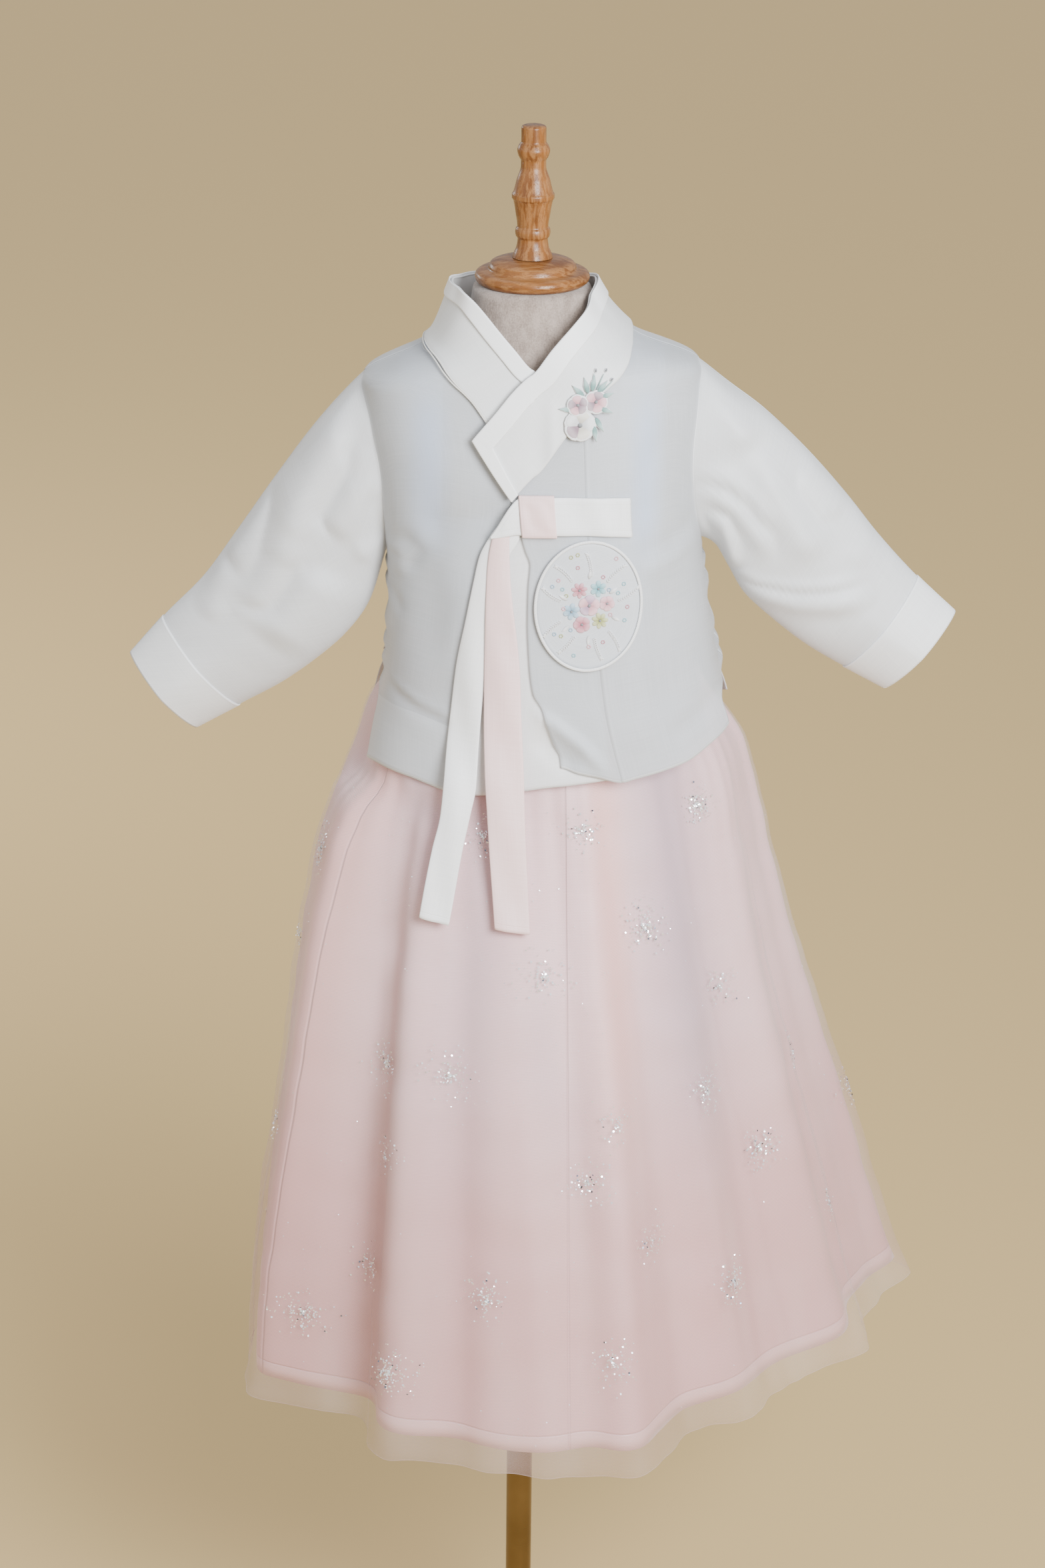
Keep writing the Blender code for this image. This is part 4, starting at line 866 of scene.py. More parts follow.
def joined(*shapes):
    """Several shapes as one."""
    whole = bmesh.new()
    for shape in shapes:
        part = bpy.data.meshes.new("part")
        shape.to_mesh(part)
        shape.free()
        whole.from_mesh(part)
        bpy.data.meshes.remove(part)
    return whole


rng = random.Random(19)
bursts = []
for turn, height, spread, count in GLITTER.rows():
    burst = bmesh.new()
    radius_here = max(0.05, (tulle_point(radians(turn), height).xy - Vector((0.02, 0))).length)
    for _ in range(FLAKES_FOR_EACH * count):
        away = spread * BURST_SPREAD * sqrt(-2 * rng.uniform(-1, -0.02)) * rng.random()
        angle = rng.uniform(0, tau)
        at_turn = radians(turn) + away * cos(angle) / radius_here
        at_height = max(LOWEST_FLAKE, height + away * sin(angle))
        tint = 1 if rng.random() < DARK_SHARE else 0
        radius = SEQUIN_RADIUS if tint else rng.uniform(0.7, 1.5) * FLAKE_RADIUS
        flake(burst, at_turn, at_height, radius, tint, rng)
    bursts.append(burst)
for _ in range(STRAY_BATCHES):
    strays = bmesh.new()
    for _ in range(FLAKES_IN_BATCH):
        turn, height = rng.uniform(0, tau), mix(0.36, 0.82, rng.random() ** 0.8)
        flake(strays, turn, height, FLAKE_RADIUS * 0.8, 0, rng)
    bursts.append(strays)
glitter = piece("tulle_glitter", joined(*bursts), [silver, dark_sequin], [])

# ---------------------------------------------------------------- jacket panels
# Five panels of thin white organza: the back, two fronts and their overlaps. Their seams
# show as denser lines, because two layers lie there, and the right front's hem has a facing.
ARMHOLE_LOW, ARMHOLE_HIGH, ARMHOLE_FRONT, ARMHOLE_BACK = 0.990, 1.117, 0.034, 0.032
ARMHOLE_MIDDLE, ARMHOLE_HALF = (ARMHOLE_LOW + ARMHOLE_HIGH) / 2, (ARMHOLE_HIGH - ARMHOLE_LOW) / 2
ROW_HEIGHT, TOP_ROW_HEIGHT = 0.0035, 0.002
OVERLAP_LIFT = 0.0026
PANEL_UNDER_COLLAR = 0.005
COLLAR_OUTER = table(
    "step inner_turn inner_height outer_turn outer_height",
    (0, -15.3, 1.0820, -5.3, 1.0422),
    (1, -9.9, 1.0946, 0.0, 1.0569),
    (2, -4.8, 1.1074, 3.3, 1.0722),
    (3, 0.3, 1.1266, 8.8, 1.0898),
    (4, 6.0, 1.1376, 13.4, 1.1010),
    (5, 14.5, 1.1474, 19.7, 1.1145),
    (6, 33.7, 1.1626, 36.7, 1.1277),
    (7, 52.0, 1.1712, 61.0, 1.1355),
    (8, 68.0, 1.1772, 84.0, 1.1408),
    (9, 92.0, 1.1795, 108.0, 1.1400),
    (10, 120.0, 1.1745, 130.0, 1.1340),
    (11, 150.0, 1.1705, 156.0, 1.1295),
    (12, 179.6, 1.1685, 179.6, 1.1280),
)
COLLAR_INNER = table(
    "step inner_turn inner_height outer_turn outer_height",
    (0, -179.6, 1.1685, -179.6, 1.1280),
    (1, -150.0, 1.1695, -154.0, 1.1295),
    (2, -120.0, 1.1725, -128.0, 1.1335),
    (3, -92.0, 1.1765, -104.0, 1.1375),
    (4, -66.0, 1.1785, -80.0, 1.1378),
    (5, -46.0, 1.1768, -58.7, 1.1358),
    (6, -35.4, 1.1735, -34.9, 1.1295),
    (7, -23.7, 1.1640, -18.3, 1.1179),
    (8, -11.2, 1.1494, -13.5, 1.1055),
    (9, -3.0, 1.1360, -10.7, 1.0947),
    (10, 1.0, 1.1255, -7.4, 1.0850),
    (11, 3.2, 1.1165, -3.8, 1.0770),
)
OUTER_EDGE = table(
    "height x",
    (0.8408, 0.0240),
    (0.8517, 0.0225),
    (0.8566, 0.0194),
    (0.8737, 0.0146),
    (0.8879, 0.0106),
    (0.9007, 0.0040),
    (0.9258, 0.0009),
    (0.9571, -0.0006),
    (0.9790, -0.0004),
    (0.9964, 0.0008),
    (1.0058, -0.0025),
    (1.0157, -0.0054),
    (1.0419, -0.0130),
)
OUTER_SEAM = table(
    "height turn",
    (0.8414, 14.8),
    (0.8779, 12.4),
    (0.9208, 12.1),
    (0.9946, 12.0),
    (1.0454, 12.3),
    (1.1000, 11.4),
)
OUTER_HEM = table(
    "turn height",
    (-4.0, 0.8530),
    (0.4, 0.8517),
    (3.7, 0.8479),
    (8.9, 0.8445),
    (14.8, 0.8408),
    (18.9, 0.8428),
    (29.5, 0.8472),
    (39.0, 0.8511),
    (51.2, 0.8582),
    (68.8, 0.8657),
)
RIGHT_SIDE = table("height turn", (0.834, -74.0), (0.866, -80.0), (0.900, -89.85))
LEFT_SIDE = table("height turn", (0.8408, 68.8), (0.862, 71.0), (0.884, 89.85))
INNER_SEAM_X = table(
    "height x",
    (0.829, -0.0480),
    (0.880, -0.0440),
    (0.930, -0.0385),
    (0.975, -0.0300),
    (1.005, -0.0240),
    (1.033, -0.0160),
)
INNER_HEM = table(
    "turn height",
    (-74.0, 0.8345),
    (-62.0, 0.8365),
    (-44.5, 0.8356),
    (-35.2, 0.8332),
    (-28.9, 0.8306),
    (-19.7, 0.8292),
    (-5.7, 0.8341),
    (0.0, 0.8375),
    (10.0, 0.8420),
)
BACK_HEM = table(
    "turn height",
    (98.0, 0.8660),
    (112.0, 0.8560),
    (135.0, 0.8400),
    (180.0, 0.8320),
    (225.0, 0.8360),
    (248.0, 0.8420),
    (262.0, 0.8500),
)
INNER_TOP = 1.0320
INNER_SEAM_TOP, OUTER_SEAM_TOP, COLLAR_END_HEIGHT = 1.036, 1.08, 1.0419
LEFT_SLIT_TOP, RIGHT_SLIT_TOP = 0.884, 0.900
HEM_FADE = 0.09
VENT_TOP_RIGHT, VENT_TOP_LEFT = 0.905, 0.888
VENT_RIGHT, VENT_LEFT = 24.0, 20.0
FLARE_RIGHT, FLARE_LEFT = 0.009, 0.0005
BACK_NECK_DIP = 0.010
# A crease is its depth (out is more than 0), its half width, and the x and z of points on it.
FRONT_CREASES = [
    (-0.0016, 0.0060, [(-0.095, 1.012), (-0.080, 0.997), (-0.088, 0.980)]),
    (0.0014, 0.0045, [(-0.100, 1.002), (-0.090, 0.990), (-0.094, 0.972)]),
    (-0.0012, 0.0040, [(-0.103, 0.965), (-0.094, 0.957), (-0.090, 0.946)]),
    (-0.0022, 0.0120, [(-0.010, 1.036), (-0.044, 1.024), (-0.080, 1.010)]),
    (-0.0026, 0.0170, [(-0.069, 1.075), (-0.071, 1.010), (-0.069, 0.960), (-0.071, 0.905)]),
    (0.0016, 0.0140, [(-0.045, 1.000), (-0.048, 0.950), (-0.056, 0.895)]),
    (0.0012, 0.0022, [(-0.104, 0.901), (-0.076, 0.890), (-0.050, 0.883)]),
    (-0.0014, 0.0050, [(-0.104, 0.896), (-0.078, 0.884), (-0.052, 0.877)]),
    (0.0030, 0.0045, [(0.000, 0.896), (0.018, 0.883), (0.037, 0.868), (0.062, 0.842)]),
    (-0.0030, 0.0080, [(0.004, 0.878), (0.020, 0.862), (0.038, 0.848)]),
    (-0.0018, 0.0080, [(0.122, 1.022), (0.099, 1.006), (0.070, 1.001)]),
    (0.0014, 0.0070, [(0.118, 1.008), (0.096, 0.993), (0.075, 0.988)]),
    (-0.0020, 0.0150, [(0.097, 0.987), (0.094, 0.938), (0.100, 0.880)]),
    (0.0014, 0.0130, [(0.076, 0.960), (0.074, 0.910), (0.080, 0.858)]),
    (-0.0016, 0.0090, [(0.142, 0.896), (0.123, 0.881), (0.096, 0.866)]),
    (-0.0012, 0.0080, [(0.088, 1.085), (0.080, 1.055), (0.084, 1.020)]),
]
BACK_CREASES = [
    (-0.0026, 0.0150, [(-0.060, 1.080), (-0.056, 1.010), (-0.062, 0.930), (-0.072, 0.850)]),
    (0.0020, 0.0120, [(-0.032, 1.060), (-0.030, 0.980), (-0.028, 0.880)]),
    (-0.0024, 0.0140, [(0.004, 1.050), (0.006, 0.960), (0.012, 0.850)]),
    (0.0020, 0.0120, [(0.040, 1.060), (0.044, 0.970), (0.052, 0.860)]),
    (-0.0026, 0.0150, [(0.070, 1.080), (0.074, 1.000), (0.086, 0.870)]),
    (-0.0016, 0.0070, [(-0.108, 1.010), (-0.080, 0.996), (-0.050, 0.992)]),
    (-0.0016, 0.0070, [(0.118, 1.014), (0.092, 1.000), (0.060, 0.996)]),
    (0.0014, 0.0070, [(-0.100, 0.975), (-0.070, 0.966), (-0.040, 0.966)]),
]
PUCKER_LENGTH, PUCKER_DEPTH = 0.019, 0.0016
SHOULDER_EASE = 0.006


def crease_move(creases, x, z):
    """How far the creases move the cloth out here. Each fades out towards its two ends."""
    total = 0.0
    for depth, width, line in creases:
        nearest, along = 9.0, 0.0
        for k in range(len(line) - 1):
            (ax, az), (bx, bz) = line[k], line[k + 1]
            run_x, run_z = bx - ax, bz - az
            share = ((x - ax) * run_x + (z - az) * run_z) / (run_x * run_x + run_z * run_z)
            share = min(1.0, max(0.0, share))
            off = (x - ax - share * run_x) ** 2 + (z - az - share * run_z) ** 2
            if off < nearest:
                nearest, along = off, (k + share) / (len(line) - 1)
        if nearest < (FOLD_REACH * width) ** 2:
            fade = ease(0, 0.3, along) * (1 - ease(0.75, 1, along))
            total += depth * exp(-nearest / width ** 2) * fade
    return total


@lru_cache(maxsize=None)
def jacket_surface(turn, height):
    """A point of the jacket's own surface, the shoulders' corner eased over a little height."""
    x = y = 0.0
    for off, share in ((-SHOULDER_EASE, 0.25), (0.0, 0.5), (SHOULDER_EASE, 0.25)):
        section = row_at(JACKET, JACKET_SECTION, "height", height + off)
        level_x, level_y = section_point(turn, *section, JACKET_POWER)
        x, y = x + level_x * share, y + level_y * share
    return leaned(Vector((x, y, height)))


def jacket(turn, height, out=0.0):
    """A point of the jacket's surface, moved out along its normal."""
    point = jacket_surface(turn, height)
    return point + surface_normal(jacket_surface, turn, height) * out if out else point


def worn_jacket(turn, height, out=0.0):
    """The jacket's surface with its creases."""
    point = jacket_surface(turn, height)
    move = crease_move(BACK_CREASES if cos(turn) < 0 else FRONT_CREASES, point.x, point.z)
    move *= ease(0.0, 0.25, abs(cos(turn)))
    beside = (1 - ease(0.0, 0.22, abs(cos(turn)))) * (1 - ease(0.975, 0.990, height))
    move += beside * PUCKER_DEPTH * sin(height * tau / PUCKER_LENGTH + 2.0 * sin(height * 90))
    move += uneven(point, 0.045, 0.0010) * (1 - ease(1.06, 1.09, height))
    return jacket(turn, height, out + move)


def front_turn(x, height):
    """The turn at which the front of the jacket has this x."""
    centre, half_width = row_at(JACKET, "centre_x half_width", "height", height)
    across = max(-1.0, min(1.0, (x - centre) / half_width))
    return asin(copysign(abs(across) ** (JACKET_POWER / 2), across))


def depth_turn(y, height, side):
    """The turn at which a side of the jacket has this y. side is 1 for the wearer's left."""
    depth = at(JACKET, "front" if y < 0 else "back", "height", height)
    along = min(1.0, abs(y) / depth) ** (JACKET_POWER / 2)
    return side * (pi / 2 + copysign(asin(along), y))


@lru_cache(maxsize=None)
def seam_line(outer):
    rows = COLLAR_OUTER if outer else COLLAR_INNER
    pairs = sorted(p for p in zip(rows["outer_height"], rows["outer_turn"]) if abs(p[1]) < 90)
    pairs.append((pairs[-1][0] + 0.0014, copysign(90, pairs[-1][1])))
    return table("height turn", *pairs)


def seam_turn(outer, height):
    """The turn, in degrees, where a collar's seam is at this height on the jacket's front."""
    return at(seam_line(outer), "turn", "height", height)


def armhole_turn(height, side, to_back):
    """The turn of an armhole's edge at this height: the side itself above and below the hole."""
    along = (height - ARMHOLE_MIDDLE) / ARMHOLE_HALF
    if abs(along) >= 1:
        return side * pi / 2
    depth = (ARMHOLE_BACK if to_back else ARMHOLE_FRONT) * sqrt(1 - along * along)
    return depth_turn(depth if to_back else -depth, height, side)


def over_lift(turn, height):
    """The outer front lies over the inner one and meets the back at the side."""
    return OVERLAP_LIFT * (1 - ease(20, 52, degrees(turn)))


def flat_lift(turn, height):
    return 0.0


def back_flare(turn, height):
    """The back's skirt swings out below the side vents."""
    to_right = 0.5 - 0.5 * sin(turn)
    top = mix(VENT_TOP_LEFT, VENT_TOP_RIGHT, to_right)
    return mix(FLARE_LEFT, FLARE_RIGHT, to_right) * (1 - ease(top - 0.040, top, height))


def left_front_edges(level):
    under = seam_turn(True, level - PANEL_UNDER_COLLAR)
    first = max(at(OUTER_SEAM, "turn", "height", level), under if level > OUTER_SEAM_TOP else -90)
    side = at(LEFT_SIDE, "turn", "height", level) if level < LEFT_SLIT_TOP else None
    return radians(first), radians(side) if side else armhole_turn(level, 1, False)


def outer_overlap_edges(level):
    first = degrees(front_turn(at(OUTER_EDGE, "x", "height", level), level))
    if level > COLLAR_END_HEIGHT:
        first = max(first, seam_turn(True, level - PANEL_UNDER_COLLAR))
    return radians(first), radians(at(OUTER_SEAM, "turn", "height", level))


def right_front_edges(level):
    last = front_turn(at(INNER_SEAM_X, "x", "height", level), level)
    if level > INNER_SEAM_TOP:
        last = radians(min(-5.0, seam_turn(False, level - PANEL_UNDER_COLLAR)))
    side = at(RIGHT_SIDE, "turn", "height", level) if level < RIGHT_SLIT_TOP else None
    return radians(side) if side else armhole_turn(level, -1, False), last


def inner_overlap_edges(level):
    return front_turn(at(INNER_SEAM_X, "x", "height", level), level), radians(11.5)


def back_edges(level):
    vent = 1 - ease(VENT_TOP_LEFT - 0.035, VENT_TOP_LEFT, level)
    first = radians(90 + VENT_LEFT * vent) if vent else armhole_turn(level, 1, True)
    vent = 1 - ease(VENT_TOP_RIGHT - 0.040, VENT_TOP_RIGHT, level)
    last = radians(270 - VENT_RIGHT * vent) if vent else armhole_turn(level, -1, True) + tau
    return first, last


def panel_levels(low, high):
    """Heights from low to high, closer together at the top and bottom of the armhole."""
    below = min(high, ARMHOLE_LOW)
    levels = steps(low, below, round((below - low) / ROW_HEIGHT))
    if high > ARMHOLE_LOW:
        curve = [ARMHOLE_MIDDLE - ARMHOLE_HALF * cos(a) for a in steps(0, pi, 40)]
        levels += [level for level in curve[1:] if level < high - 0.001]
        levels += steps(levels[-1], high, max(1, round((high - levels[-1]) / TOP_ROW_HEIGHT)))[1:]
    return levels


def panel(name, high, edges, hem, lift, columns, finish, node, neck_dip=0.0):
    """A jacket panel: level rows between its two edges, the lowest ones following its hem."""
    lowest = min(hem["height"])
    levels = panel_levels(lowest, high)

    def point_at(u, v):
        level = levels[round(v * (len(levels) - 1))]
        first, last = edges(level)
        turn = mix(first, last, u)
        near_hem = max(0.0, 1 - (level - lowest) / HEM_FADE)
        height = level + (at(hem, "height", "turn", degrees(turn)) - lowest) * near_hem
        height -= neck_dip * max(0.0, -cos(turn)) ** 1.5 * ease(1.09, 1.143, level)
        return worn_jacket(turn, height, lift(turn, height))

    shape = laid_grid(point_at, columns, len(levels) - 1)
    return piece(name, shape, finish, [node], CLOTH_WALL)


def organza(name, colour, shadow, opacity, hem_facing=0.0, allowance=0.0028, rolled=0.0014):
    """Thin crisp organza, seen through a little. Seams and hems are denser where it is folded."""
    finish = woven(name, colour, shadow, thread=0.0004, slub=0.22, Roughness=0.5, Sheen_Weight=0.3,
                   Sheen_Roughness=0.35)
    beside, beyond, _ = finish.parts(finish.cloth_map("rim"))
    seam = beside.rise(allowance, allowance + 0.0012, 0.14, 0.0)
    edge = beside.rise(0.0, 0.0010, 0.4, 0.0)
    edge = edge.math("MAXIMUM", beyond.rise(rolled, rolled + 0.0006, 1.0, 0.0))
    folded = seam.math("MAXIMUM", edge)
    if hem_facing:
        facing = finish.up.rise(hem_facing, hem_facing + 0.0008, 0.35, 0.0)
        folded = folded.math("MAXIMUM", facing)
    stitches = stitched(finish, 0.0013, length=0.0024)
    cover = folded * (0.95 - opacity) + finish.slubs * 0.03 + opacity
    # Painted light: where the bodice straps lie under the organza, its colour is painted bluish,
    # for the straps showing through it.
    x, y, z = finish.parts(finish.place())
    straps = x.near(0.080, 0.016) + x.near(-0.070, 0.022)
    straps = straps * z.rise(0.985, 1.03) * z.rise(1.085, 1.13, 1.0, 0.0)
    tinged = finish.tint(straps * 0.7, finish.tone, (0.64, 0.735, 0.92))
    finish.feed(
        Base_Color=finish.tint(folded * 0.4, tinged, (0.84, 0.85, 0.87)),
        Roughness=finish.slubs * 0.10 + 0.44,
        Alpha=cover,
    )
    finish.relief(finish.threads * 0.16 + folded * 0.25 - stitches * 0.12, 0.0004)
    return finish


# Painted shade: the body's organza is painted greyer than the same organza in the sleeves, for the
# shade of the dark form inside it.
THIN_WHITE, THIN_SHADOW = (0.69, 0.715, 0.752), (0.63, 0.655, 0.692)
organza_body = organza("white organza", THIN_WHITE, THIN_SHADOW, 0.60)
organza_faced = organza("white organza with hem facing", THIN_WHITE, THIN_SHADOW, 0.60,
                        hem_facing=0.046)
organza_overlap = organza("white organza overlap", THIN_WHITE, THIN_SHADOW, 0.56, allowance=0.0)
organza_lining = organza("white inner lining", (0.88, 0.875, 0.88), (0.83, 0.825, 0.83), 0.88)
BACK_TOP, RIGHT_TOP, LEFT_TOP, OUTER_TOP = 1.143, 1.136, 1.1425, 1.090
back = panel("jacket_back_panel", BACK_TOP, back_edges, BACK_HEM, back_flare, 96,
             organza_body, "jacket_back", BACK_NECK_DIP)
right = panel("jacket_right_panel", RIGHT_TOP, right_front_edges, INNER_HEM, flat_lift, 54,
              organza_faced, "jacket_right_front")
inner = panel("jacket_inner_panel", INNER_TOP, inner_overlap_edges, INNER_HEM, flat_lift, 30,
              organza_lining, "jacket_inner_overlap")
left = panel("jacket_left_panel", LEFT_TOP, left_front_edges, OUTER_HEM, over_lift, 60,
             organza_body, "jacket_left_front")
outer = panel("jacket_outer_panel", OUTER_TOP, outer_overlap_edges, OUTER_HEM, over_lift, 26,
              organza_overlap, "jacket_outer_overlap")

# ---------------------------------------------------------------- sleeves and cuffs
# Short bowed sleeves of the same organza, set into the armholes and turned up at the wrist
# as a wide faced cuff. They hang from the shoulder ends in a few long soft folds.
SLEEVE_POWER, MOUTH_POWER = 2.15, 1.5
SLEEVE_RIGHT = table(
    "along top_x top_z bottom_x bottom_z front back",
    (0.00, -0.1195, 1.1113, -0.1020, 0.9850, 0.034, 0.032),
    (0.10, -0.1345, 1.0925, -0.1065, 0.9660, 0.033, 0.031),
    (0.22, -0.1540, 1.0690, -0.1150, 0.9410, 0.032, 0.030),
    (0.38, -0.1810, 1.0320, -0.1320, 0.9170, 0.031, 0.028),
    (0.54, -0.2100, 0.9900, -0.1550, 0.8960, 0.029, 0.026),
    (0.67, -0.2330, 0.9580, -0.1780, 0.8790, 0.027, 0.024),
    (0.82, -0.2600, 0.9300, -0.2060, 0.8630, 0.025, 0.022),
    (1.00, -0.2870, 0.8990, -0.2410, 0.8430, 0.022, 0.019),
)
SLEEVE_LEFT = table(
    "along top_x top_z bottom_x bottom_z front back",
    (0.00, 0.1195, 1.1227, 0.1220, 0.9960, 0.034, 0.032),
    (0.10, 0.1350, 1.1080, 0.1310, 0.9900, 0.033, 0.031),
    (0.22, 0.1630, 1.0870, 0.1420, 0.9720, 0.032, 0.030),
    (0.38, 0.1930, 1.0590, 0.1530, 0.9530, 0.031, 0.028),
    (0.54, 0.2240, 1.0250, 0.1760, 0.9310, 0.029, 0.026),
    (0.67, 0.2490, 0.9940, 0.1990, 0.9130, 0.027, 0.024),
    (0.82, 0.2750, 0.9660, 0.2250, 0.8970, 0.025, 0.022),
    (1.00, 0.3060, 0.9370, 0.2580, 0.8790, 0.022, 0.019),
)
ARMHOLE_INSET = 0.0012
CUFF_START, CUFF_LAP, CUFF_OVER = 0.84, 0.004, 0.0006
SLEEVE_CREASES = {
    1: [
        (-0.0060, 0.0120, [(0.124, 1.122), (0.140, 1.093), (0.156, 1.062)]),
        (-0.0060, 0.0130, [(0.152, 1.072), (0.175, 1.031), (0.190, 1.006), (0.204, 0.980)]),
        (0.0060, 0.0085, [(0.112, 1.024), (0.133, 1.031), (0.146, 1.023), (0.160, 1.006),
                          (0.174, 0.978)]),
        (-0.0045, 0.0080, [(0.112, 1.042), (0.138, 1.042), (0.157, 1.026), (0.174, 1.000)]),
        (-0.0050, 0.0055, [(0.131, 1.024), (0.139, 1.000), (0.147, 0.970)]),
        (0.0030, 0.0045, [(0.121, 1.030), (0.124, 1.015), (0.128, 0.995)]),
        (0.0034, 0.0048, [(0.140, 0.978), (0.162, 0.966), (0.185, 0.963), (0.210, 0.964),
                          (0.246, 0.970)]),
        (-0.0046, 0.0080, [(0.146, 0.966), (0.168, 0.955), (0.190, 0.950), (0.218, 0.951),
                           (0.255, 0.958)]),
        (-0.0020, 0.0120, [(0.238, 1.020), (0.241, 0.996), (0.232, 0.974)]),
        (0.0030, 0.0200, [(0.190, 1.055), (0.222, 1.012)]),
    ],
    -1: [
        (-0.0085, 0.0170, [(-0.124, 1.112), (-0.138, 1.074), (-0.152, 1.044), (-0.168, 1.012),
                           (-0.180, 0.975)]),
        (0.0036, 0.0065, [(-0.119, 1.106), (-0.127, 1.082), (-0.127, 1.060), (-0.117, 1.036)]),
        (0.0050, 0.0140, [(-0.112, 1.045), (-0.128, 1.022), (-0.142, 0.998)]),
        (-0.0030, 0.0060, [(-0.118, 1.028), (-0.106, 1.008), (-0.099, 0.985)]),
        (0.0030, 0.0070, [(-0.128, 0.992), (-0.110, 0.984), (-0.100, 0.972)]),
        (-0.0050, 0.0150, [(-0.166, 1.000), (-0.180, 0.968), (-0.198, 0.934)]),
        (0.0060, 0.0240, [(-0.140, 0.978), (-0.160, 0.946), (-0.188, 0.914)]),
        (0.0040, 0.0180, [(-0.176, 1.036), (-0.200, 1.002), (-0.224, 0.966)]),
        (-0.0026, 0.0110, [(-0.214, 0.990), (-0.222, 0.960), (-0.230, 0.926)]),
    ],
}
SLEEVE_BACK_CREASES = {
    side: [
        (-0.0050, 0.0110, [(side * 0.126, 1.105), (side * 0.142, 1.072), (side * 0.160, 1.040)]),
        (-0.0040, 0.0110, [(side * 0.158, 1.045), (side * 0.180, 1.005), (side * 0.196, 0.970)]),
        (0.0040, 0.0080, [(side * 0.112, 1.020), (side * 0.135, 1.020), (side * 0.160, 0.990)]),
        (-0.0030, 0.0070, [(side * 0.125, 1.002), (side * 0.150, 0.986), (side * 0.175, 0.960)]),
        (0.0026, 0.0100, [(side * 0.190, 0.985), (side * 0.205, 0.950), (side * 0.225, 0.925)]),
    ]
    for side in (1, -1)
}


def armhole_ring(side, angle):
    """A point just inside the armhole's edge. Angle 0 is its top and a quarter turn its front."""
    height = ARMHOLE_MIDDLE + ARMHOLE_HALF * cos(angle)
    depth = sin(angle) * (ARMHOLE_FRONT if sin(angle) > 0 else ARMHOLE_BACK)
    edge = jacket_surface(depth_turn(-depth, height, side), height)
    return edge - Vector((side * ARMHOLE_INSET, 0, 0))


def sleeve_surface(side, angle, along, over=0.0):
    """A point of a sleeve, or of what is laid over it, at an angle round it and a share down
    it."""
    rows = SLEEVE_LEFT if side > 0 else SLEEVE_RIGHT
    top_x, top_z, bottom_x, bottom_z, front, back = row_at(
        rows, "top_x top_z bottom_x bottom_z front back", "along", along
    )
    power = mix(SLEEVE_POWER, MOUTH_POWER, ease(0.3, 1.0, along))
    c = copysign(abs(cos(angle)) ** (2 / power), cos(angle))
    s = copysign(abs(sin(angle)) ** (2 / power), sin(angle))
    depth = -s * (front if s > 0 else back)
    middle = Vector(((top_x + bottom_x) / 2, depth - copysign(over, s), (top_z + bottom_z) / 2))
    half = Vector(((top_x - bottom_x) / 2, 0, (top_z - bottom_z) / 2))
    hanging = middle + half * c * (1 + over / half.length)
    creases = (SLEEVE_CREASES if s > 0 else SLEEVE_BACK_CREASES)[side]
    move = crease_move(creases, hanging.x, hanging.z) * ease(0.0, 0.45, abs(s))
    move += uneven(hanging, 0.060, 0.0012)
    hanging.y -= copysign(move, s)
    return armhole_ring(side, angle).lerp(hanging, ease(0.0, 0.14, along))


def along_sleeve(side, first, last, rows, over=0.0):
    """The part of a sleeve between two shares of its length."""
    return laid_grid(lambda u, v: sleeve_surface(side, side * tau * u, mix(first, last, v), over),
                     90, rows, wraps=True)


sleeve_cloth = organza("white sleeve organza", (0.84, 0.855, 0.875), (0.78, 0.79, 0.81), 0.64,
                       allowance=0.0, rolled=0.0012)
cuff_cloth = organza("white faced cuff", (0.88, 0.89, 0.90), (0.82, 0.83, 0.845), 0.88,
                     allowance=0.0, rolled=0.0012)
for side, name in ((1, "left"), (-1, "right")):
    shape = along_sleeve(side, 0.0, CUFF_START + CUFF_LAP, 84)
    sleeve = piece(f"sleeve_tube_{name}", shape, sleeve_cloth, [f"sleeve_{name}"],
                   CLOTH_WALL)
    shape = along_sleeve(side, CUFF_START - CUFF_LAP, 1.0, 20, CUFF_OVER)
    cuff = piece(f"cuff_band_{name}", shape, cuff_cloth, [f"cuff_{name}"],
                 CLOTH_WALL)

# ---------------------------------------------------------------- crossed collar
# A stiffened white band folded over an interlining and sewn to the jacket's neck edge. The
# outer one crosses over the inner one. A pressed white strip is slip-stitched round its neck
# edge and its cut end, and a fine double cord lies along the inner one's seam.
COLLAR_LIFT_SIDE, COLLAR_LIFT_INNER, COLLAR_LIFT_CROSSED = 0.0030, 0.0022, 0.0061
OUTER_STRIP, INNER_STRIP, BACK_STRIP = 0.0126, 0.0094, 0.0110
COVER_RISE, STRIP_TURN, COLLAR_WIDTH = 0.0019, 0.0008, 0.044
BACK_LAP = 0.0006
COLLAR_WALL = 0.0011
END_STRIP_AT_NECK, END_STRIP_AT_SEAM = 0.047, 0.022
EDGE_STEPS, EDGE_EASE = 240, 12
NECK_PULL = 0.0055
ROLL, STRIP_ROLL = 0.0007, 0.0003
CORD_FROM_SEAM, PIPING_LIFT, PIPING_RADIUS = (0.0001, 0.0012), 0.0029, 0.00055
PIPING_FIRST, PIPING_LAST = 0.385, 0.93


def outer_collar_lift(turn):
    """How far the outer collar is off the jacket's surface, for a turn in degrees. At the
    centre of the back its end laps over the inner one's."""
    lift = mix(COLLAR_LIFT_CROSSED, COLLAR_LIFT_SIDE, ease(18, 62, turn))
    return lift + BACK_LAP * ease(170, 178, turn)


def inner_collar_lift(turn):
    return mix(COLLAR_LIFT_INNER, COLLAR_LIFT_SIDE, ease(15, 45, -turn))


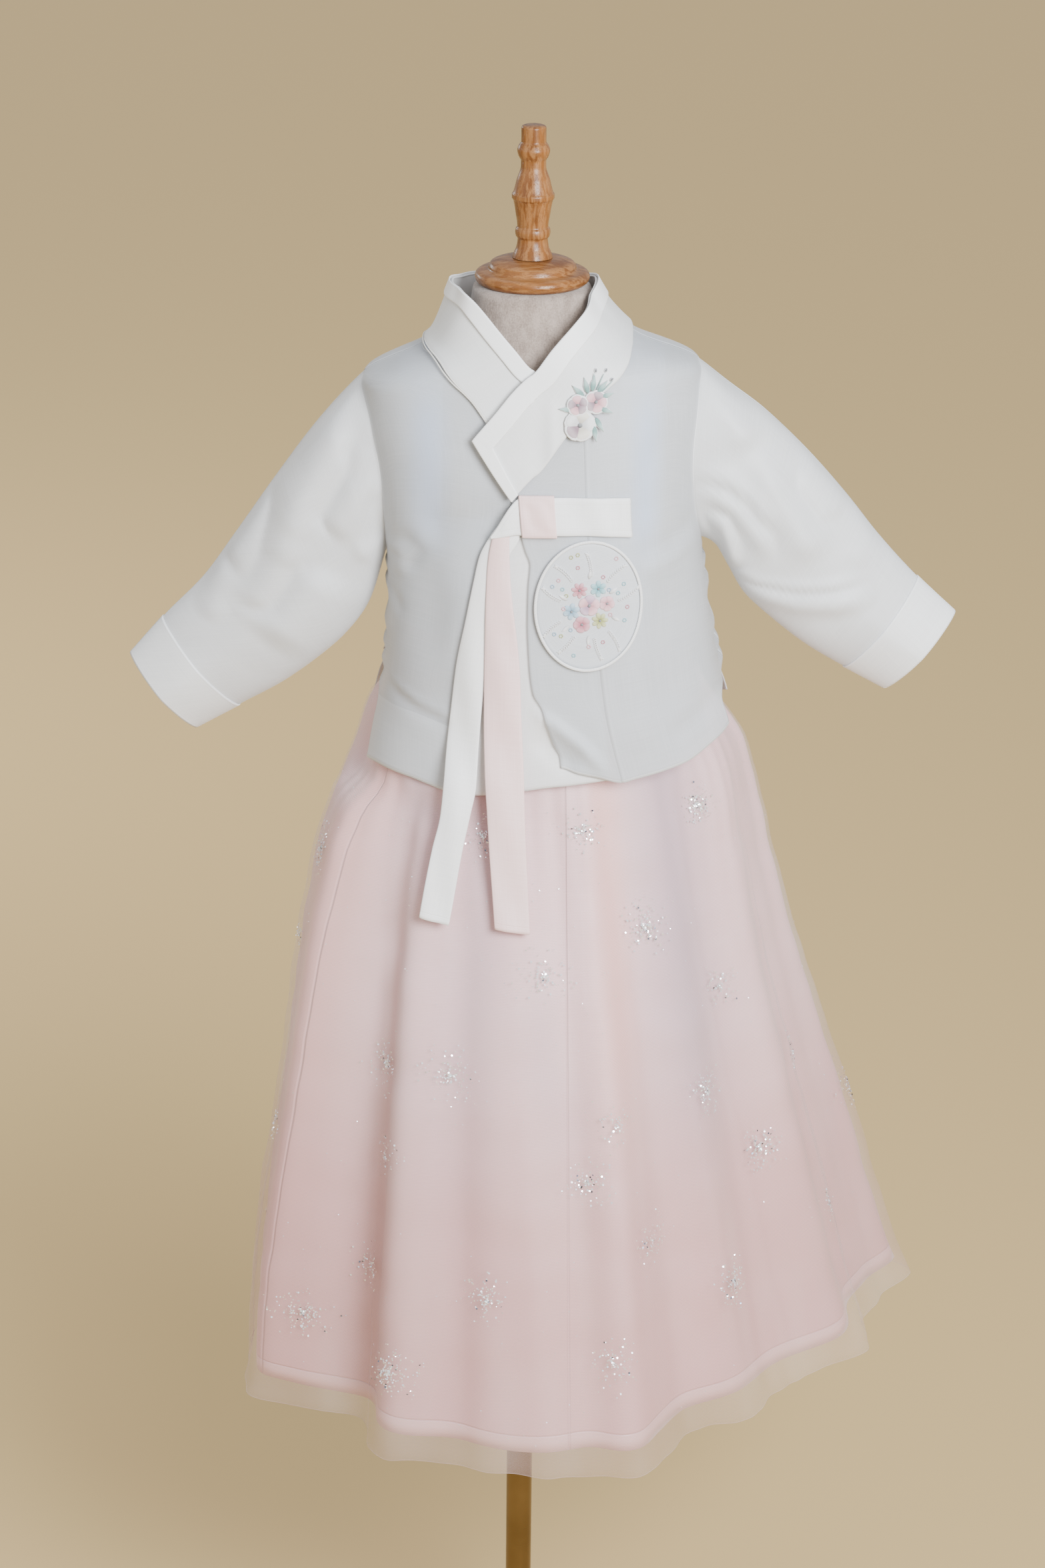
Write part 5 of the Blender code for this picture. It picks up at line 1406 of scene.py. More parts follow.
def edge_run(rows, which):
    """A collar edge, eased straight: turns and heights against the share of its own length."""
    places = [row_at(rows, f"{which}_turn {which}_height", "step", k)
              for k in steps(0, rows["step"][-1], EDGE_STEPS)]
    reach = [min(i, EDGE_STEPS - i, EDGE_EASE) for i in range(EDGE_STEPS + 1)]
    for _ in range(2):
        near = [places[i - span:i + span + 1] for i, span in enumerate(reach)]
        places = [[sum(values) / len(beside) for values in zip(*beside)] for beside in near]
    spots = [jacket_surface(radians(turn), height) for turn, height in places]
    lengths = [0.0]
    for a, b in zip(spots, spots[1:]):
        lengths.append(lengths[-1] + (b - a).length)
    return [(length / lengths[-1], *place) for length, place in zip(lengths, places)]


def run_at(run, share):
    i = min(len(run) - 2, max(0, bisect([row[0] for row in run], share) - 1))
    part = (share - run[i][0]) / (run[i + 1][0] - run[i][0])
    return [mix(a, b, part) for a, b in zip(run[i][1:], run[i + 1][1:])]


COLLAR_RUNS = {rows: (edge_run(rows, "inner"), edge_run(rows, "outer"))
               for rows in (COLLAR_OUTER, COLLAR_INNER)}


def collar_place(rows, along, across):
    """The turn, in degrees, and height of a place on the collar. along is a share of its length,
    and across is 0 on the edge at the neck and 1 on the jacket's seam."""
    neck, seam = (run_at(run, along) for run in COLLAR_RUNS[rows])
    return mix(neck[0], seam[0], across), mix(neck[1], seam[1], across)


def collar_point(rows, along, across, out):
    turn, height = collar_place(rows, along, across)
    return jacket(radians(turn), height, out)


def neck_pull(turn, across):
    """How far the collar's neck edge closes in at the sides of the neck."""
    return NECK_PULL * ease(35, 62, abs(turn)) * ease(150, 120, abs(turn)) * (1 - across) ** 2


def collar_fold(turn):
    """A soft upright fold in the outer collar, below the crossing."""
    return 0.0008 * exp(-((turn - 3.4) / 1.3) ** 2) - 0.0006 * exp(-((turn - 0.8) / 1.3) ** 2)


def bunched(share):
    """0 to 1 in steps that come closer together at both ends."""
    return 0.5 - 0.5 * cos(pi * share)


def rolled_edge(share, reach=0.10):
    """1 on an edge and 0 further in: how much a folded edge rolls down there."""
    return (1 - ease(0, reach, share)) + (1 - ease(0, reach, 1 - share))


def strip_place(rows, along, inward):
    """The turn and height of a place this many metres in from the collar's neck edge."""
    run = COLLAR_RUNS[rows][0]
    turn, height = run_at(run, along)
    before, behind = run_at(run, min(1, along + 0.01)), run_at(run, max(0, along - 0.01))
    ahead = (jacket_surface(radians(before[0]), before[1])
             - jacket_surface(radians(behind[0]), behind[1]))
    for _ in range(3):
        spot = jacket_surface(radians(turn), height)
        square = ahead.cross(surface_normal(jacket_surface, radians(turn), height)).normalized()
        round_it = (jacket_surface(radians(turn + 0.1), height) - spot) / 0.1
        rise = (jacket_surface(radians(turn), height + 0.0005) - spot) / 0.0005
        a, b, c = round_it.dot(round_it), round_it.dot(rise), rise.dot(rise)
        p, q = square.dot(round_it), square.dot(rise)
        turn += (p * c - q * b) / (a * c - b * b) * inward / 3
        height += (q * a - p * b) / (a * c - b * b) * inward / 3
    return turn, height


def neck_strip(rows, lift, first, last, width, count):
    """The pressed strip along a collar's neck edge. Both runs are one width at the back."""
    def point_at(u, v):
        along = mix(first, last, u)
        towards_back = ease(100, 165, abs(run_at(COLLAR_RUNS[rows][0], along)[0]))
        inward = mix(mix(width, BACK_STRIP, towards_back), -STRIP_TURN, bunched(v))
        turn, height = strip_place(rows, along, inward)
        out = lift(turn) + COVER_RISE - STRIP_ROLL * max(rolled_edge(v), rolled_edge(u, 0.02))
        out += uneven(jacket_surface(radians(turn), height), 0.030, 0.0005)
        out -= neck_pull(turn, max(0.0, inward / COLLAR_WIDTH))
        return jacket(radians(turn), height, out)

    return laid_grid(point_at, count, 12)


def collar_strip(rows, lift, first, last, low, high, rise, count, roll=ROLL):
    """Part of a collar band: between two shares of its width and of its length, where last may
    differ from the neck side to the seam side."""
    def point_at(u, v):
        across = mix(high, low, bunched(v))
        until = mix(*last, (across - low) / (high - low)) if isinstance(last, tuple) else last
        along = mix(first, until, u)
        turn = collar_place(rows, along, 0.0)[0]
        out = lift(turn) + rise - roll * max(rolled_edge(v), rolled_edge(u, 0.02))
        out -= neck_pull(turn, across)
        if rows is COLLAR_OUTER:
            out += collar_fold(collar_place(rows, along, across)[0]) * ease(0.34, 0.60, across)
        where = collar_point(rows, along, across, 0.0)
        return collar_point(rows, along, across, out + uneven(where, 0.030, 0.0005))

    return laid_grid(point_at, count, 22)


collar_cloth = woven("collar cloth", (0.79, 0.795, 0.795), (0.73, 0.735, 0.735), slub=0.25,
                     Roughness=0.52, Sheen_Weight=0.3, Sheen_Roughness=0.35)
SPECKS = {"Vector": collar_cloth.place(), "Scale": 170.0}
speck = collar_cloth.node("TexVoronoi", {}, SPECKS)
chosen, *_ = collar_cloth.parts(collar_cloth.node("TexVoronoi", {}, SPECKS, out=1))
specks = speck.rise(0.05, 0.09, 1.0, 0.0) * chosen.rise(0.965, 0.97)
collar_cloth.feed(Base_Color=collar_cloth.tint(specks * 0.6, collar_cloth.tone, (0.32, 0.30, 0.30)))
collar_cloth.relief(collar_cloth.threads * 0.2 + specks * 0.3, 0.0004)
strip_cloth = woven("pressed white strip", (0.94, 0.945, 0.95), (0.90, 0.905, 0.91), slub=0.3,
                    Roughness=0.5, Sheen_Weight=0.2)
strip_cloth.relief(strip_cloth.threads * 0.15, 0.0004)

band = collar_strip(COLLAR_OUTER, outer_collar_lift, 0, 1.012, 0, 1, 0.0, 150)
collar_out = piece("collar_band_outer", band, collar_cloth, ["collar_outer"],
                   COLLAR_WALL)
band = collar_strip(COLLAR_INNER, inner_collar_lift, -0.008, 1, 0, 1, 0.0, 140)
collar_in = piece("collar_band_inner", band, collar_cloth, ["collar_inner"],
                  COLLAR_WALL)
along_neck = neck_strip(COLLAR_OUTER, outer_collar_lift, -0.001, 1.010, OUTER_STRIP, 150)
end_strip = collar_strip(COLLAR_OUTER, outer_collar_lift, -0.001,
                         (END_STRIP_AT_NECK, END_STRIP_AT_SEAM), -0.02, 1.01,
                         COVER_RISE - 0.0001, 16, roll=STRIP_ROLL)
cover_out = piece("collar_strip_outer", joined(along_neck, end_strip), strip_cloth,
                  ["collar_cover_outer"], COLLAR_WALL)
along_neck = neck_strip(COLLAR_INNER, inner_collar_lift, -0.006, 0.955, INNER_STRIP, 140)
cover_in = piece("collar_strip_inner", along_neck, strip_cloth, ["collar_cover_inner"],
                 COLLAR_WALL)


def tube(path, radius):
    """A round cord along a path, as a grid that wraps round it and is closed at its ends."""
    def point_at(u, v):
        i = round(v * (len(path) - 1))
        ahead = (path[min(i + 1, len(path) - 1)] - path[max(i - 1, 0)]).normalized()
        across = ahead.cross(Vector((0, 0, 1))).normalized()
        up = across.cross(ahead)
        return path[i] + (across * cos(tau * u) - up * sin(tau * u)) * radius

    shape = laid_grid(point_at, 8, len(path) - 1, wraps=True)
    bmesh.ops.holes_fill(shape, edges=shape.edges, sides=0)
    bmesh.ops.recalc_face_normals(shape, faces=shape.faces)
    return shape


def corded(name, colour, twist):
    """Twisted or closely stitched thread, its turns crossing the cord at a slant."""
    finish = Finish(name, colour, Roughness=0.4, Sheen_Weight=0.3)
    round_it, along, _ = finish.parts(finish.cloth_map("cloth"))
    turns = (along + round_it * 0.35).wave(twist)
    # Painted shade: the grooves between the turns are painted darker.
    finish.feed(Base_Color=finish.tint(turns, tuple(c * 0.82 for c in colour), colour))
    finish.relief(turns, 0.00018)
    return finish


cord_thread = corded("piping cord", (0.86, 0.84, 0.80), 0.0011)
cords = []
for from_seam in CORD_FROM_SEAM:
    path = []
    for along in steps(PIPING_FIRST, PIPING_LAST, 160):
        neck, seam = (collar_point(COLLAR_INNER, along, across, 0.0) for across in (0, 1))
        across = 1 + from_seam / (seam - neck).length
        path.append(collar_point(COLLAR_INNER, along, across, PIPING_LIFT))
    cords.append(tube(path, PIPING_RADIUS))
piece("collar_double_cord", joined(*cords), cord_thread, ["collar_piping"])

# ---------------------------------------------------------------- ribbon tie
# Two ribbons, each a turned tube of organza pressed flat. The white one makes the standing
# loop and hangs as the longer end; the pink one wraps the loop once and hangs beside it.
RIBBON_WALL = 0.0008
RIBBON_LIFT, LOOP_SPACE = 0.0044, 0.0020
LOOP_EDGES = table(
    "turn top bottom",
    (-6.0, 1.0434, 1.0187),
    (3.5, 1.0429, 1.0172),
    (13.3, 1.0412, 1.0158),
    (28.4, 1.0389, 1.0123),
)
WRAP_IN, WRAP_OUT, WRAP_HALF_TURN = 0.0040, 0.0080, 3.4
TURNED_FIRST_X = -0.0262
WHITE_TAIL = table(
    "height left right depth",
    (0.7470, -0.0750, -0.0545, 0.1240),
    (0.7700, -0.0710, -0.0500, 0.1190),
    (0.7950, -0.0660, -0.0450, 0.1130),
    (0.8180, -0.0605, -0.0400, 0.1080),
    (0.8380, -0.0585, -0.0360, 0.1030),
    (0.8640, -0.0565, -0.0345, 0.0975),
    (0.8920, -0.0535, -0.0325, 0.0935),
    (0.9230, -0.0500, -0.0290, 0.0900),
    (0.9540, -0.0440, -0.0235, 0.0885),
    (0.9850, -0.0380, -0.0180, 0.0870),
    (1.0020, -0.0342, -0.0145, 0.0865),
    (1.0165, -0.0268, -0.0070, 0.0865),
    (1.0290, -0.0176, -0.0060, 0.0862),
    (1.0405, -0.0100, -0.0058, 0.0850),
)
PINK_TAIL = table(
    "height left right depth",
    (0.7400, -0.0215, 0.0030, 0.1275),
    (0.7650, -0.0235, 0.0015, 0.1215),
    (0.7900, -0.0255, 0.0000, 0.1165),
    (0.8200, -0.0275, -0.0015, 0.1110),
    (0.8500, -0.0294, -0.0026, 0.1060),
    (0.8880, -0.0304, -0.0046, 0.1005),
    (0.9200, -0.0303, -0.0059, 0.0965),
    (0.9460, -0.0300, -0.0085, 0.0940),
    (0.9715, -0.0296, -0.0118, 0.0925),
    (0.9930, -0.0288, -0.0136, 0.0910),
    (1.0155, -0.0255, -0.0143, 0.0900),
    (1.0215, -0.0205, -0.0125, 0.0895),
)
WHITE_TAIL_LIFT, PINK_TAIL_LIFT, TAIL_CROWN = 0.0042, 0.0068, 0.0010


def ribbon_cloth(name, colour, shadow):
    """Ribbon of doubled organza, a little denser along its two folded edges."""
    finish = woven(name, colour, shadow, slub=0.2, Roughness=0.5, Sheen_Weight=0.35,
                   Sheen_Roughness=0.3)
    beside, beyond, _ = finish.parts(finish.cloth_map("rim"))
    edge = beside.rise(0.0010, 0.0014, 1.0, 0.0)
    end = beyond.near(0.0048, 0.0005) * 0.6
    finish.feed(Base_Color=finish.tint(end, finish.tone, shadow),
                Alpha=edge * 0.05 + finish.slubs * 0.03 + 0.93)
    finish.relief(finish.threads * 0.18 + edge * 0.2 - end * 0.4, 0.0004)
    return finish


white_ribbon = ribbon_cloth("white ribbon", (0.95, 0.955, 0.96), (0.91, 0.915, 0.92))
pink_ribbon = ribbon_cloth("pink ribbon", (0.96, 0.72, 0.71), (0.93, 0.66, 0.65))


def tail_grid(rows, lift, slant, sway):
    """A hanging ribbon end: on the jacket above its hem, and free in front of the skirt below."""
    def point_at(u, v):
        height = mix(rows["height"][0], rows["height"][-1], v)
        left, right, depth = row_at(rows, "left right depth", "height", height)
        share = bunched(u)
        x = mix(left, right, share)
        z = height - slant * share * (1 - ease(0.75, 0.80, height))
        roll = ROLL * rolled_edge(u, 0.16)
        laid = worn_jacket(front_turn(x, z), z, lift)
        crown = TAIL_CROWN * sin(pi * share) - roll
        crown += sway * sin(height * 62 + 2.2 * share) * sin(pi * share) * ease(0.99, 0.93, height)
        hung = Vector((x, -depth - crown, z))
        return hung.lerp(Vector((x, laid.y - crown, z)), ease(0.838, 0.880, height))

    return laid_grid(point_at, 16, 130)


def turned_point(u, v):
    """The white ribbon at the knot, where it turns over and down to become its hanging end."""
    x = mix(TURNED_FIRST_X, 0.0, u)
    turn = degrees(front_turn(x, 1.02))
    low, top = row_at(LOOP_EDGES, "bottom top", "turn", turn)
    low -= 0.0022 * ease(-0.006, TURNED_FIRST_X, x)
    top = min(top, mix(low, top + 0.0010, ease(-0.0275, -0.0045, x) ** 0.75))
    height = mix(low, top, bunched(v))
    out = mix(0.0084, 0.0066, ease(-0.018, -0.006, x)) - 0.0006 * rolled_edge(v, 0.14)
    return worn_jacket(front_turn(x, height), height, out)


def loop_height(turn, share):
    return mix(*row_at(LOOP_EDGES, "bottom top", "turn", turn), share)


def smooth_path(points, count):
    """count + 1 points along a row of points, on a smooth curve through them."""
    lengths = [0.0]
    for a, b in zip(points, points[1:]):
        lengths.append(lengths[-1] + max(1e-5, sum((q - p) ** 2 for p, q in zip(a, b)) ** 0.5))
    rows = table("along first second", *[(run, *point) for run, point in zip(lengths, points)])
    return [row_at(rows, "first second", "along", run) for run in steps(0, lengths[-1], count)]


# The fold's turn, and how far it is from the under layer (0) to the upper one (1).
LOOP_UNDER = [(-1.2, 0.0), (5.0, 0.0), (12.0, 0.0), (20.0, 0.0), (26.8, 0.0), (27.9, 0.18)]
LOOP_UPPER = [(turn, 1 - layer) for turn, layer in reversed(LOOP_UNDER)]
LOOP_STEPS, WRAP_STEPS = 90, 60
loop_run = smooth_path(LOOP_UNDER + [(28.3, 0.5)] + LOOP_UPPER, LOOP_STEPS)


def loop_point(u, v):
    turn, layer = loop_run[round(u * LOOP_STEPS)]
    share = bunched(v)
    out = RIBBON_LIFT + LOOP_SPACE * layer
    out -= ROLL * rolled_edge(v, 0.14) * (1 if layer > 0.5 else -0.3)
    out += 0.0007 * sin(turn * 0.42 + 1.5 * share) * layer * ease(26.5, 20, turn)
    return worn_jacket(radians(turn), loop_height(turn, share), out)


# How high each point of the wrap is above the loop's lower edge, and how far out.
WRAP_LOW = [(-0.0015, WRAP_IN), (-0.0015, WRAP_OUT - 0.0009), (-0.0004, WRAP_OUT)]
WRAP_FRONT = [(0.0062, WRAP_OUT + 0.0002), (0.0124, WRAP_OUT + 0.0002), (0.0186, WRAP_OUT)]
WRAP_HIGH = [(0.0258, WRAP_OUT), (0.0269, WRAP_OUT - 0.0009), (0.0269, WRAP_IN)]
wrap_run = smooth_path(WRAP_LOW + WRAP_FRONT + WRAP_HIGH, WRAP_STEPS)


def wrap_point(u, v):
    rise, out = wrap_run[round(v * WRAP_STEPS)]
    turn = mix(-WRAP_HALF_TURN, WRAP_HALF_TURN, u)
    low = at(LOOP_EDGES, "bottom", "turn", turn)
    pulled = 0.0006 * sin(u * 9.0 + v * 4.0) * sin(pi * u)
    pulled *= ease(0.15, 0.35, v) * (1 - ease(0.65, 0.85, v))
    return worn_jacket(radians(turn), low + rise, out + pulled - 0.5 * ROLL * rolled_edge(u, 0.12))


shape = tail_grid(WHITE_TAIL, WHITE_TAIL_LIFT, 0.006, 0.0016)
tail_white = piece("ribbon_white_end", shape, white_ribbon, ["ribbon_tail_white"],
                   RIBBON_WALL)
shape = tail_grid(PINK_TAIL, PINK_TAIL_LIFT, 0.004, 0.0010)
tail_pink = piece("ribbon_pink_end", shape, pink_ribbon, ["ribbon_tail_pink"],
                  RIBBON_WALL)
shape = joined(laid_grid(loop_point, LOOP_STEPS, 14), laid_grid(turned_point, 24, 14))
loop = piece("ribbon_standing_loop", shape, white_ribbon, ["ribbon_loop"],
             RIBBON_WALL)
shape = laid_grid(wrap_point, 20, WRAP_STEPS)
wrap = piece("ribbon_pink_wrap", shape, pink_ribbon, ["ribbon_wrap"],
             RIBBON_WALL)

# ---------------------------------------------------------------- oval chest patch
# An oval of organza with a thick satin-stitched edge, sewn flat on the left front. It is worked
# with small raised blossoms in pastel silks, white feather-stitched sprigs and little eyelets.
MEDALLION = {"x": 0.0405, "height": 0.9670, "half_width": 0.0370, "half_height": 0.0457}
PATCH_LIFT, PATCH_WALL = 0.0021, 0.0005
RIM_LIFT, RIM_RADIUS, RIM_STEPS = 0.0033, 0.0011, 220


def oval_place(oval, across, up):
    """The x and height on the jacket of a place in an oval, given in metres from its middle."""
    tilt = radians(oval.get("tilt", 0.0))
    x = oval["x"] + across * cos(tilt) + up * sin(tilt)
    return x, oval["height"] - across * sin(tilt) + up * cos(tilt)


def on_jacket(oval, across, up, out):
    x, height = oval_place(oval, across, up)
    turn = front_turn(x, height)
    return worn_jacket(turn, height, over_lift(turn, height) + out)


def patch_place(turn, share, out):
    """A point of the patch at this share of the way out to the middle line of its edge."""
    across = (MEDALLION["half_width"] - RIM_RADIUS) * share * cos(turn)
    up = (MEDALLION["half_height"] - RIM_RADIUS) * share * sin(turn)
    return on_jacket(MEDALLION, across, up, out)


def patch_point(u, v):
    """The disc of cloth, its outer ring first so that it faces outwards."""
    return patch_place(tau * u, 1 - v, PATCH_LIFT)


patch_cloth = woven("patch organza", (0.63, 0.655, 0.69), (0.57, 0.59, 0.625), slub=0.4,
                    Roughness=0.5, Sheen_Weight=0.3)
patch_cloth.relief(patch_cloth.threads * 0.4, 0.0004)
shape = laid_grid(patch_point, 96, 16, wraps=True)
patch = piece("chest_patch", shape, patch_cloth, ["medallion"], PATCH_WALL)

rim_path = [patch_place(turn, 1.0, RIM_LIFT) for turn in steps(0, tau, RIM_STEPS)]


def rim_point(u, v):
    i = round(v * RIM_STEPS)
    ahead = (rim_path[(i + 1) % RIM_STEPS] - rim_path[(i - 1) % RIM_STEPS]).normalized()
    off = surface_normal(jacket_surface, front_turn(rim_path[i].x, rim_path[i].z), rim_path[i].z)
    across = ahead.cross(off).normalized()
    return rim_path[i] + across * cos(tau * u) * RIM_RADIUS - off * sin(tau * u) * RIM_RADIUS * 0.7


shape = laid_grid(rim_point, 12, RIM_STEPS, wraps=True)
bmesh.ops.recalc_face_normals(shape, faces=shape.faces)
rim_thread = corded("white satin stitch", (0.96, 0.965, 0.975), 0.0011)
piece("chest_patch_edge", shape, rim_thread, ["medallion_rim"])


def silk(name, colour):
    """Satin stitch in silk floss: shining threads that run out slanting from the middle line,
    deeper at a pad's foot and paler at its tip."""
    finish = Finish(name, colour, Roughness=0.34, Sheen_Weight=0.4, Sheen_Roughness=0.3,
                    Anisotropic=0.3)
    along, beside, _ = finish.parts(finish.cloth_map("cloth"))
    threads = (along + abs(beside) * 0.8).wave(0.00042)
    deep, pale = [c * 0.72 for c in colour], [mix(c, 0.92, 0.28) for c in colour]
    worked = finish.tint(along.rise(-0.0026, 0.0018), deep, pale)
    finish.feed(Base_Color=finish.tint(threads * 0.35, worked, deep))
    finish.relief(threads, 0.00008)
    return finish


SILKS = {
    "white": (0.96, 0.96, 0.97),
    "pink": (0.90, 0.46, 0.52),
    "rose": (0.70, 0.24, 0.31),
    "lilac": (0.62, 0.38, 0.54),
    "blue": (0.26, 0.58, 0.66),
    "sky": (0.34, 0.55, 0.72),
    "lime": (0.54, 0.56, 0.20),
    "cream": (0.88, 0.83, 0.72),
    "grey": (0.13, 0.14, 0.16),
    "mint": (0.28, 0.50, 0.47),
    "mauve": (0.42, 0.28, 0.34),
}
silk_names = list(SILKS)
floss = [silk(f"{name} silk", colour) for name, colour in SILKS.items()]


def pad(pads, oval, out, middle, angle, length, width, thick, colour, taper=0.0):
    """One raised satin-stitched pad, such as a petal or leaf, laid on the jacket. The angle is
    in degrees from across the chest, and taper narrows its far end."""
    x, height = oval_place(oval, *middle)
    centre = on_jacket(oval, *middle, out)
    off = surface_normal(jacket_surface, front_turn(x, height), height)
    tilt = radians(angle - oval.get("tilt", 0.0))
    ahead = Vector((cos(tilt), 0, sin(tilt)))
    ahead = (ahead - off * ahead.dot(off)).normalized()
    beside = off.cross(ahead)
    part = bmesh.new()
    layer = part.loops.layers.uv.new("cloth")
    made = bmesh.ops.create_uvsphere(part, u_segments=12, v_segments=6, radius=1.0)
    for vertex in made["verts"]:
        a, b, c = vertex.co
        narrow = 1 - taper * ease(-0.2, 1.0, a)
        flat = Vector((a * length / 2, b * width / 2 * narrow, c * thick))
        vertex.co = centre + ahead * flat.x + beside * flat.y + off * flat.z
        for corner in vertex.link_loops:
            corner[layer].uv = flat.x, flat.y
    for face in part.faces:
        face.material_index = silk_names.index(colour)
    pads.append(part)


def away_from(place, angle, reach):
    """The place this far from another one, at an angle in degrees."""
    return place[0] + reach * cos(radians(angle)), place[1] + reach * sin(radians(angle))


def blossom(pads, oval, out, middle, petals, radius, colours, turn, slim):
    """Petals, in turn of these colours, round a small grey knot."""
    for k in range(petals):
        angle = turn + 360 * k / petals
        where = away_from(middle, angle, 0.56 * radius)
        width = slim * 2.0 * radius * sin(pi / petals) * 1.05
        tint = colours[k % len(colours)]
        pad(pads, oval, out, where, angle, radius * 0.98, width, 0.0007, tint, taper=-0.2)
    pad(pads, oval, out + 0.0005, middle, turn, radius * 0.34, radius * 0.34, 0.0006, "grey")


def sprig(pads, oval, out, start, heading, bend):
    """A curved white stem with short slanted stitches on both sides and a bud at its tip.
    Returns the places along it."""
    angle, run = heading, [start]
    for _ in range(SPRIG_STITCHES):
        angle += bend / SPRIG_STITCHES
        run.append(away_from(run[-1], angle, SPRIG_LENGTH / SPRIG_STITCHES))
        for side in (1, -1):
            lean = angle + side * SPRIG_LEAN
            where = away_from(run[-1], lean, 0.0010)
            pad(pads, oval, out, where, lean, 0.0023, 0.0010, 0.0009, "white")
    pad(pads, oval, out, run[-1], angle, 0.0032, 0.0020, 0.0010, "white")
    return run


def eyelet(pads, oval, out, middle, colour):
    """A little ring of stitches."""
    for angle in range(0, 360, 60):
        where = away_from(middle, angle, 0.0011)
        pad(pads, oval, out, where, angle + 90, 0.0014, 0.0009, 0.0006, colour)


STITCH_OUT = PATCH_LIFT + 0.0004
BLOSSOMS = [
    ((0.0008, 0.0008), 5, 0.0072, ["pink", "lilac"], 12),
    ((-0.0112, -0.0030), 6, 0.0058, ["sky"], 20),
    ((-0.0040, -0.0122), 5, 0.0058, ["rose"], 40),
    ((0.0082, -0.0098), 7, 0.0056, ["lime"], 5),
    ((0.0128, 0.0018), 5, 0.0053, ["pink"], 60),
    ((0.0068, 0.0122), 6, 0.0056, ["blue"], 30),
    ((-0.0060, 0.0116), 7, 0.0055, ["rose"], 15),
]
LEAVES = [(-0.0170, 0.0070, 150), (0.0170, 0.0105, 35), (0.0005, -0.0235, 265),
          (0.0010, 0.0225, 80), (0.0190, -0.0090, -30), (-0.0150, -0.0150, 220)]
SPRIGS = [(0.0120, 0.0150, 62, -34), (0.0185, 0.0030, 12, 30), (0.0130, -0.0160, -44, -28),
          (0.0045, -0.0200, -86, 24), (-0.0080, -0.0185, -116, -26), (-0.0165, -0.0090, 204, 30),
          (-0.0165, 0.0040, 164, -32), (-0.0100, 0.0165, 118, 30), (0.0020, 0.0195, 86, 26)]
SPRIG_LENGTH, SPRIG_STITCHES, SPRIG_LEAN = 0.0170, 11, 36
EYELETS, EYELET_APART = 22, 0.0043
EYELET_SILKS = ("blue", "pink", "lime", "sky", "rose")
motifs = []
for middle, petals, radius, colours, turn in BLOSSOMS:
    slim = 0.62 if petals > 5 else 0.85
    blossom(motifs, MEDALLION, STITCH_OUT, middle, petals, radius, colours, turn, slim)
for across, up, angle in LEAVES:
    pad(motifs, MEDALLION, STITCH_OUT, (across, up), angle, 0.0072, 0.0030, 0.0010, "white",
        taper=0.7)
taken = [middle for middle, *_ in BLOSSOMS]
for across, up, heading, bend in SPRIGS:
    taken += sprig(motifs, MEDALLION, STITCH_OUT, (across, up), heading, bend)
rng = random.Random(7)
eyelets = 0
while eyelets < EYELETS:
    share, angle = 0.42 + 0.46 * rng.random(), rng.uniform(0, tau)
    spot = (MEDALLION["half_width"] * share * cos(angle),
            MEDALLION["half_height"] * share * sin(angle))
    if min(hypot(spot[0] - a, spot[1] - b) for a, b in taken) > EYELET_APART:
        taken.append(spot)
        eyelet(motifs, MEDALLION, STITCH_OUT, spot, EYELET_SILKS[eyelets % len(EYELET_SILKS)])
        eyelets += 1
piece("chest_patch_stitching", joined(*motifs), floss, [])

# ---------------------------------------------------------------- flower spray on the collar
# A small spray in padded satin stitch, worked on its own ground and sewn over the collar's
# seam: three open blossoms, mint leaves with white edges, and grey buds on thin stems.
SPRAY = {"x": 0.0375, "height": 1.1025, "tilt": 24.0}
SPRAY_OUT = 0.0049
SPRAY_LEAVES = [(-0.0058, 0.0135, 128), (-0.0015, 0.0165, 104), (0.0045, 0.0160, 74),
                (0.0092, 0.0118, 42), (-0.0098, 0.0078, 160), (0.0128, 0.0025, 4),
                (0.0128, -0.0075, -36), (0.0125, -0.0140, -58), (-0.0118, -0.0062, 202)]
SPRAY_BUDS = [(-0.0006, 0.0115, 106, 0.0122), (0.0022, 0.0120, 88, 0.0134),
              (0.0050, 0.0115, 68, 0.0120)]
SPRAY_BLOSSOMS = [
    ((0.0042, 0.0052), 0.0072, ["pink", "mauve"], 20, 0.0006),
    ((-0.0062, -0.0010), 0.0066, ["mauve", "pink"], 50, 0.0010),
    ((0.0008, -0.0125), 0.0096, ["cream", "white", "mauve"], 100, 0.0004),
]
spray = []
for across, up, angle in SPRAY_LEAVES:
    pad(spray, SPRAY, SPRAY_OUT, (across, up), angle, 0.0124, 0.0048, 0.0006, "white", taper=0.75)
    pad(spray, SPRAY, SPRAY_OUT + 0.0004, (across, up), angle, 0.0114, 0.0039, 0.0007, "mint",
        taper=0.75)
for across, up, angle, length in SPRAY_BUDS:
    tip = away_from((across, up), angle, length)
    middle = (across + tip[0]) / 2, (up + tip[1]) / 2
    pad(spray, SPRAY, SPRAY_OUT + 0.0003, middle, angle, length, 0.0009, 0.0005, "mint")
    pad(spray, SPRAY, SPRAY_OUT, tip, angle, 0.0036, 0.0024, 0.0006, "white")
    pad(spray, SPRAY, SPRAY_OUT + 0.0004, tip, angle, 0.0026, 0.0014, 0.0006, "grey")
for middle, radius, colours, turn, rise in SPRAY_BLOSSOMS:
    blossom(spray, SPRAY, SPRAY_OUT + rise - 0.0003, middle, 5, radius * 1.12, ["white"], turn, 1.0)
    blossom(spray, SPRAY, SPRAY_OUT + rise, middle, 5, radius, colours, turn, 0.86)
piece("collar_flower_spray", joined(*spray), floss, ["collar_flowers"])

